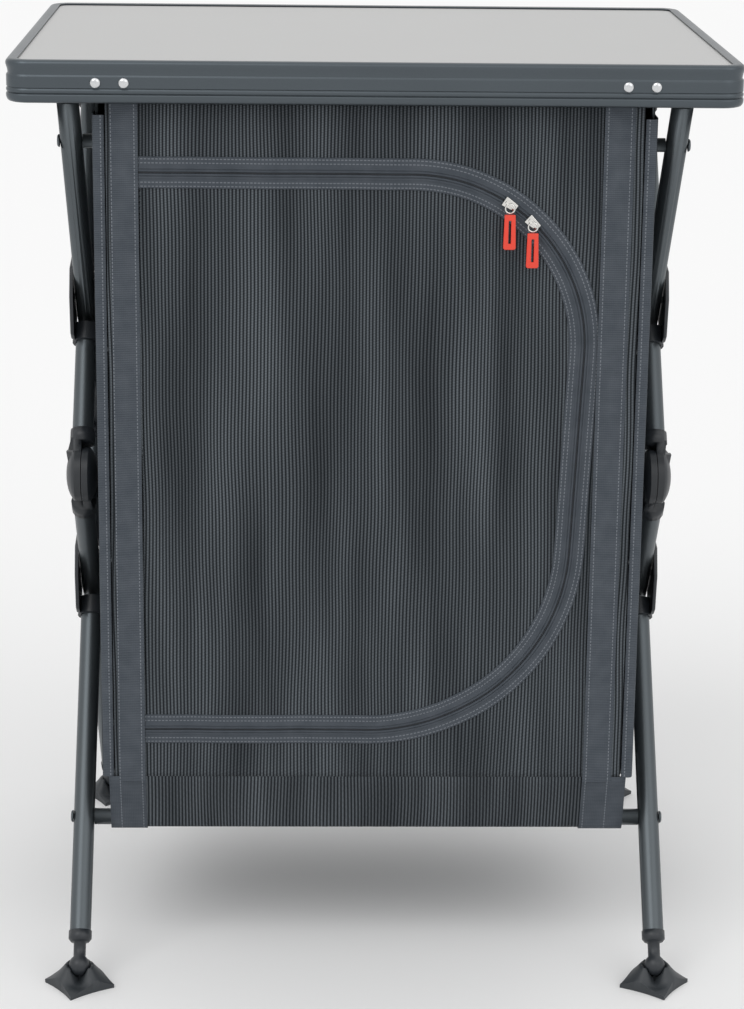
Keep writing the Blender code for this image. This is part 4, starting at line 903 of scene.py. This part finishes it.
# Hems: a flat webbing sewn down each side of the panel, over the ends of the zip tapes, and a
# rounded binding at the front edge of each side wall, with the dark seam between the two.
HEM_EDGES = {"left": (0.2003, 0.2240), "right": (0.1936, 0.2196)}
BINDING_INNER = 0.2286
BINDING_OUTER = 0.2384
HEM_WIDTH = 0.0258
HEM_HEIGHT = 0.0013
HEM_LIFT = 0.0013
HEM_TAIL = 0.004
HEM_STITCH_INSET = 0.0030
HEM_RIB_PITCH = 0.0016
BINDING_BACK = 0.0008
BINDING_HEIGHT = 0.0022
BINDING_STEPS = 16
BINDING_WAVE = (0.0006, 0.19)
HEM_TOP = PANEL_HIGH - 0.0008
BINDING_TOP = PANEL_HIGH - 0.013
HEM_CLOTH = woven_finish("hem_webbing", TAPE_WEAVE, TAPE_COLOUR, TAPE_PALE, 0.00022, 0.72, {
    "Rib Pitch": HEM_RIB_PITCH, "First Row": HEM_STITCH_INSET, "Second Row": HEM_WIDTH - HEM_STITCH_INSET,
})


def upright_strip(name, section, low_z, high_z, standing_out):
    """A strip that hangs straight down, from its section of (x, out from the cloth)."""
    shape = bmesh.new()
    base = PANEL_BACK - CLOTH_THICKNESS - TAPE_LIFT
    edges = closed_section(shape, [(x, base - out, low_z) for x, out in section])
    extruded_run(shape, edges, Vector((0.0, 0.0, high_z - low_z)), TAPE_STEP)
    fill_ends(shape)
    inner = min(abs(x) for x, out in section)
    lay_map(shape, lambda vert: (abs(vert.co.x) - inner, vert.co.z))
    for vert in shape.verts:
        vert.co.y -= standing_out(vert.co.x, vert.co.z)
    strip = piece(name, shape, HEM_CLOTH, 60.0)
    hang(strip, [], "table")


def hem_section(side, inner, outer):
    """The webbing's section, lifted over the zip tapes at its inner edge."""
    middle = (inner + outer) / 2
    points = [(inner, HEM_LIFT), (inner, HEM_LIFT + HEM_HEIGHT * 0.8), (inner + 0.0008, HEM_LIFT + HEM_HEIGHT),
              (inner + 0.0030, HEM_LIFT + HEM_HEIGHT * 0.85), (middle, HEM_HEIGHT * 1.25),
              (outer - 0.0030, HEM_HEIGHT * 0.9), (outer - 0.0008, HEM_HEIGHT), (outer, HEM_HEIGHT * 0.7),
              (outer, 0.0), (middle, 0.0)]
    return [(side * x, out) for x, out in points]


def binding_section(side):
    """The binding's section: a folded tape round the edge of the side wall."""
    middle = (BINDING_INNER + BINDING_OUTER) / 2
    half = (BINDING_OUTER - BINDING_INNER) / 2
    turns = [2 * math.pi * step / BINDING_STEPS for step in range(BINDING_STEPS)]
    return [(side * (middle + half * math.cos(turn)), BINDING_HEIGHT * math.sin(turn) - BINDING_BACK)
            for turn in turns]


def binding_wave(x, z):
    """The binding is a little drawn in and out by its stitches."""
    return wave(*BINDING_WAVE, z, 5 * x)


for side_name, side in SIDES.items():
    upright_strip(side_name + "_hem_webbing", hem_section(side, *HEM_EDGES[side_name]),
                  PANEL_LOW - HEM_TAIL, HEM_TOP, front_wave)
    upright_strip(side_name + "_wall_binding", binding_section(side), PANEL_LOW, BINDING_TOP, binding_wave)


# Sliders and pulls: two nickelled zip sliders that meet on the upper bend, each with a bridge and a
# ring, and a flat red plastic pull with a slot that hangs from the ring.
SLIDER_STEEL = grained_finish("nickelled_slider", (0.74, 0.73, 0.70), 0.20, 1.0, scale=600.0, spread=0.08)
PULL_RED = grained_finish("red_pull_plastic", (0.78, 0.055, 0.028), 0.42, 0.0, scale=1200.0, depth=0.00005,
                          spread=0.08)
SLIDER_ANGLES = {"upper": math.radians(56.6), "lower": math.radians(47.0)}
SLIDER_STAND_OUT = 0.0034
SLIDER_PLATE = (0.0125, 0.0018, 0.0088)
SLIDER_TAPER = 0.28
SLIDER_POST = (0.0022, 0.0022, 0.0030)
SLIDER_POST_PLACE = (0.0038, -0.0016, 0.0)
SLIDER_BRIDGE = (0.0098, 0.0011, 0.0030)
SLIDER_BRIDGE_PLACE = (0.0, -0.0030, 0.0)
RING_PLACE = (-0.0004, -0.0042, -0.0028)
RING_RADIUS = 0.0040
RING_WIRE = 0.0007
RING_STEPS = 24
PULL_PLACE = (0.0, -0.0004, -0.0049)
PULL_HALF_WIDTH = 0.0054
PULL_TAPER = 0.86
PULL_CORNER = 0.0012
PULL_FRAME = 0.0032
PULL_SLOT_HALF_WIDTH = 0.0011
PULL_SLOT_SHARE = 0.66
PULL_LENGTH = 0.0300
PULL_THICKNESS = 0.0024


def soft_box(shape, size, centre, matrix, bevel):
    """A rounded block, turned by the matrix and moved to its centre; gives back its points."""
    made = bmesh.ops.create_cube(shape, size=1.0)["verts"]
    bmesh.ops.scale(shape, vec=size, verts=made)
    edges = list({edge for vert in made for edge in vert.link_edges})
    grown = bmesh.ops.bevel(shape, geom=edges, offset=bevel, segments=2, profile=0.5, affect="EDGES", material=-1)
    verts = {vert for face in grown["faces"] for vert in face.verts} | {vert for vert in made if vert.is_valid}
    verts = list(verts)
    bmesh.ops.rotate(shape, cent=(0.0, 0.0, 0.0), matrix=matrix, verts=verts)
    bmesh.ops.translate(shape, vec=centre, verts=verts)
    return verts


def make_slider(name, angle):
    """The slider on the upper bend of the D at an angle; gives back the middle of its ring."""
    centre = bend_point(UPPER_BEND, UPPER_BEND_RADIUS, angle)
    centre.y = PANEL_BACK - CLOTH_THICKNESS - SLIDER_STAND_OUT - front_wave(centre.x, centre.z)
    turn = Matrix.Rotation(math.pi / 2 - angle, 3, "Y")
    shape = bmesh.new()
    for vert in soft_box(shape, SLIDER_PLATE, centre, turn, 0.0007):
        offset = turn.inverted() @ (vert.co - centre)
        offset.z *= 1.0 - SLIDER_TAPER * max(0.0, offset.x / (SLIDER_PLATE[0] / 2))
        vert.co = centre + turn @ offset
    x, y, z = SLIDER_POST_PLACE
    for place in ((-x, y, z), (x, y, z)):
        soft_box(shape, SLIDER_POST, centre + turn @ Vector(place), turn, 0.0005)
    soft_box(shape, SLIDER_BRIDGE, centre + turn @ Vector(SLIDER_BRIDGE_PLACE), turn, 0.0005)
    ring_middle = centre + Vector(RING_PLACE)
    wire = [ring_middle + Vector((RING_RADIUS + RING_WIRE * math.cos(bend), RING_WIRE * math.sin(bend), 0.0))
            for bend in COIL_TURNS]
    lathed(shape, closed_section(shape, wire), ring_middle, (0.0, 1.0, 0.0), RING_STEPS)
    closed_up(shape, STRIP_WELD)
    made = piece("zip_%s_slider_body" % name, shape, SLIDER_STEEL)
    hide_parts("zip_%s_slider" % name)
    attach(made, name + "_slider")
    return ring_middle


def make_pull(name, ring_middle):
    """The pull: half of its outline, mirrored, with a slot cut in it, drawn out to its thickness."""
    shape = bmesh.new()
    top = ring_middle + Vector(PULL_PLACE)
    half = [(PULL_HALF_WIDTH * PULL_TAPER, 0.0), (PULL_HALF_WIDTH, PULL_CORNER - PULL_LENGTH),
            (PULL_HALF_WIDTH - PULL_CORNER, -PULL_LENGTH)]
    outline = [(-x, z) for x, z in half] + half[::-1]
    front = shape.faces.new([shape.verts.new((top.x + x, top.y, top.z + z)) for x, z in outline])
    bmesh.ops.inset_individual(shape, faces=[front], thickness=PULL_FRAME, depth=0.0, use_even_offset=True)
    slot_middle = top.z - PULL_LENGTH / 2
    for vert in front.verts:
        vert.co.x = top.x + math.copysign(PULL_SLOT_HALF_WIDTH, vert.co.x - top.x)
        vert.co.z = slot_middle + (vert.co.z - slot_middle) * PULL_SLOT_SHARE
    bmesh.ops.delete(shape, geom=[front], context="FACES")
    bmesh.ops.remove_doubles(shape, verts=shape.verts, dist=STRIP_WELD)
    grown = bmesh.ops.extrude_face_region(shape, geom=list(shape.faces))
    bmesh.ops.translate(shape, vec=(0.0, -PULL_THICKNESS, 0.0), verts=made_verts(grown["geom"]))
    bmesh.ops.recalc_face_normals(shape, faces=shape.faces)
    made = piece("zip_%s_pull_tab" % name, shape, PULL_RED)
    soft = made.modifiers.new("moulded_edges", "BEVEL")
    soft.width = 0.0006
    soft.segments = 3
    soft.limit_method = "ANGLE"
    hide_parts("zip_%s_pull" % name)
    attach(made, name + "_pull")


for slider_name, slider_angle in SLIDER_ANGLES.items():
    make_pull(slider_name, make_slider(slider_name, slider_angle))


# Side and back walls: one length of the ribbed mesh, sewn to the bindings in front. It is drawn
# tight round the boards and billows a little between them, with a seam at each back corner.
WALL_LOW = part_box("cabinet_wrap")[0][2]
WALL_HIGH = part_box("cabinet_wrap")[1][2]
WALL_EASE = 0.0016
WALL_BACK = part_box("bottom_board")[1][1] + WALL_EASE
WALL_HALF_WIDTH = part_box("bottom_board")[1][0] + WALL_EASE
WALL_FRONT = PANEL_BACK + 0.0012
WALL_CORNER = 0.006
WALL_STEP = 0.008
WALL_RIPPLE = 0.0030
WALL_RIPPLE_LENGTH = 0.074
WALL_BILLOW = 0.0022
WALL_FADE = 0.03
BOARD_NAMES = ("bottom_board", "lower_shelf", "upper_shelf")
WALL_LEVELS = [middle_of(name)[2] for name in BOARD_NAMES] + [WALL_HIGH]


def wall_slack(z):
    """How slack the wall is at a height: none at a board, most between two."""
    for low, high in zip(WALL_LEVELS, WALL_LEVELS[1:]):
        if low <= z <= high:
            return math.sin(math.pi * (z - low) / (high - low))
    return 0.0


def path_sheet(points, move, step_length):
    """A cloth from a path of points, drawn out by the move in steps.

    Gives back its bmesh, the layer that holds the way along the path, and the path's length.
    """
    shape = bmesh.new()
    layer = shape.verts.layers.float.new("along")
    chain = [shape.verts.new(point) for point in points]
    run = 0.0
    for before, vert in zip(chain, chain[1:]):
        run += (vert.co - before.co).length
        vert[layer] = run
    edges = [shape.edges.new(pair) for pair in zip(chain, chain[1:])]
    extruded_run(shape, edges, move, step_length)
    return shape, layer, run


def stepped(places, step):
    """Points on the straight runs through the places, about a step apart."""
    points = []
    for before, after in zip(places, places[1:]):
        way = Vector(after) - Vector(before)
        count = max(1, round(way.length / step))
        points += [Vector(before) + way * share / count for share in range(count)]
    return points + [Vector(places[-1])]


def wall_path():
    """The walls' way round the cabinet from its left front edge to its right one."""
    places = [(-WALL_HALF_WIDTH, WALL_FRONT, WALL_LOW)]
    for side, first in ((-1, 180.0), (1, 90.0)):
        for step in range(7):
            bend = math.radians(first - 15.0 * step)
            places.append((side * (WALL_HALF_WIDTH - WALL_CORNER) + WALL_CORNER * math.cos(bend),
                           WALL_BACK - WALL_CORNER + WALL_CORNER * math.sin(bend), WALL_LOW))
    places.append((WALL_HALF_WIDTH, WALL_FRONT, WALL_LOW))
    return stepped(places, WALL_STEP)


def make_walls():
    rise = Vector((0.0, 0.0, WALL_HIGH - WALL_LOW))
    shape, layer, run = path_sheet(wall_path(), rise, WALL_STEP)
    lay_map(shape, lambda vert: (vert[layer], vert.co.z))
    for vert in shape.verts:
        ripple = 0.5 + wave(0.5, WALL_RIPPLE_LENGTH, vert[layer], 2.2 * math.sin(vert.co.z * 9.0))
        inward = wall_slack(vert.co.z) * (WALL_RIPPLE * ripple - WALL_BILLOW)
        if vert.co.y > WALL_BACK - WALL_CORNER * 0.5:
            vert.co.y -= inward * 1.5
        elif vert.co.y < WALL_BACK - WALL_CORNER:
            fade = min(1.0, (vert.co.y - WALL_FRONT) / WALL_FADE)
            vert.co.x -= math.copysign(inward, vert.co.x) * fade
    bmesh.ops.recalc_face_normals(shape, faces=shape.faces)
    walls = thicken(piece("side_and_back_walls", shape, MESH_CLOTH, 80.0), CLOTH_THICKNESS)
    hang(walls, ["cabinet_wrap"], "table")


make_walls()


# Bottom sling: the same ribbed mesh, sewn under the front panel, carried round the front bar,
# across below the bottom board, round the rear bar and up to the back wall.
SLING_SPREAD = 0.0050
SLING_HALF_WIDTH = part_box("bottom_sling")[1][0] + SLING_SPREAD
SLING_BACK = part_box("bottom_sling")[1][1] - CLOTH_THICKNESS
FRONT_BAR = middle_of("front_bar")
REAR_BAR = middle_of("rear_bar")
SLING_RADIUS = 0.0088
SLING_SAG = 0.006
SLING_CELL = (0.008, 0.009)
SLING_FRONT = 0.035
SLING_WAVE = (0.0006, 0.075)
BAR_STEPS = 16
SLING_HEM_LIFT = 0.0013
SLING_HEM_THICKNESS = 0.0009
SLING_HEM_COLUMNS = 5


def tangent_angle(place, centre, side):
    """Where a straight line from the place touches the sling's circle round a bar, in degrees."""
    reach = math.hypot(centre[1] - place[0], centre[2] - place[1])
    towards = math.degrees(math.atan2(centre[2] - place[1], centre[1] - place[0]))
    spread = math.degrees(math.asin(SLING_RADIUS / reach))
    return (towards - side * (spread + 90.0)) % 360.0


def sling_path():
    """The sling's way, as (y, z), and how many of its points reach the low middle."""
    start = (PANEL_BACK - CLOTH_THICKNESS / 2, PANEL_LOW)
    middle = ((FRONT_BAR[1] + REAR_BAR[1]) / 2, FRONT_BAR[2] - SLING_RADIUS - SLING_SAG)
    end = (SLING_BACK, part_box("bottom_sling")[1][2])
    points = [start]
    for centre, before, after in ((FRONT_BAR, start, middle), (REAR_BAR, middle, end)):
        first = tangent_angle(before, centre, 1)
        final = tangent_angle(after, centre, -1)
        if final < first:
            final += 360.0
        for step in range(BAR_STEPS + 1):
            angle = math.radians(first + (final - first) * step / BAR_STEPS)
            points.append((centre[1] + SLING_RADIUS * math.cos(angle),
                           centre[2] + SLING_RADIUS * math.sin(angle)))
        points.append(after)
    return points, BAR_STEPS + 3


def make_sling():
    path, reach = sling_path()
    points = stepped([(-SLING_HALF_WIDTH, y, z) for y, z in path], SLING_CELL[0])
    shape, layer, run = path_sheet(points, Vector((2 * SLING_HALF_WIDTH, 0.0, 0.0)), SLING_CELL[1])
    lay_map(shape, lambda vert: (vert.co.x, vert[layer]))
    for vert in shape.verts:
        if vert[layer] < SLING_FRONT:
            swell = math.sin(math.pi * vert[layer] / SLING_FRONT)
            vert.co.y -= wave(*SLING_WAVE, vert.co.x, 1.0) * swell
    bmesh.ops.recalc_face_normals(shape, faces=shape.faces)
    sling = thicken(piece("bottom_sling_cloth", shape, MESH_CLOTH, 80.0), CLOTH_THICKNESS)
    hang(sling, ["bottom_sling"], "table")


def make_sling_hem(side_name, side):
    """The side webbing goes on down the sleeve and round the front bar to the sling's low middle."""
    inner = HEM_EDGES[side_name][0]
    width = SLING_HALF_WIDTH + SLING_HEM_LIFT - inner
    path, reach = sling_path()
    points = stepped([(side * inner, y, z) for y, z in path[:reach]], TAPE_STEP)[:-1]
    shape, layer, run = path_sheet(points, Vector((side * width, 0.0, 0.0)), width / SLING_HEM_COLUMNS)
    lay_map(shape, lambda vert: (abs(vert.co.x) - inner, vert[layer]))
    bmesh.ops.recalc_face_normals(shape, faces=shape.faces)
    for vert in shape.verts:
        away = Vector((0.0, vert.co.y - FRONT_BAR[1], vert.co.z - FRONT_BAR[2]))
        if away.z > 0.0:
            away = Vector((0.0, -1.0, 0.0))
        vert.co += away.normalized() * SLING_HEM_LIFT
    hem = thicken(piece(side_name + "_sling_hem", shape, HEM_CLOTH, 80.0), SLING_HEM_THICKNESS)
    hang(hem, [], "table")


make_sling()
for side_name, side in SIDES.items():
    make_sling_hem(side_name, side)


# Shelves and bottom board: three stiff boards wrapped in dark grey coated cloth. They are boxed in
# by the walls and only show through the open door.
SHELF_COVER = grained_finish("dark_shelf_cover", (0.085, 0.094, 0.104), 0.62, 0.0, scale=1000.0, depth=0.00008)
for board_name in BOARD_NAMES:
    refinish(board_name, SHELF_COVER)
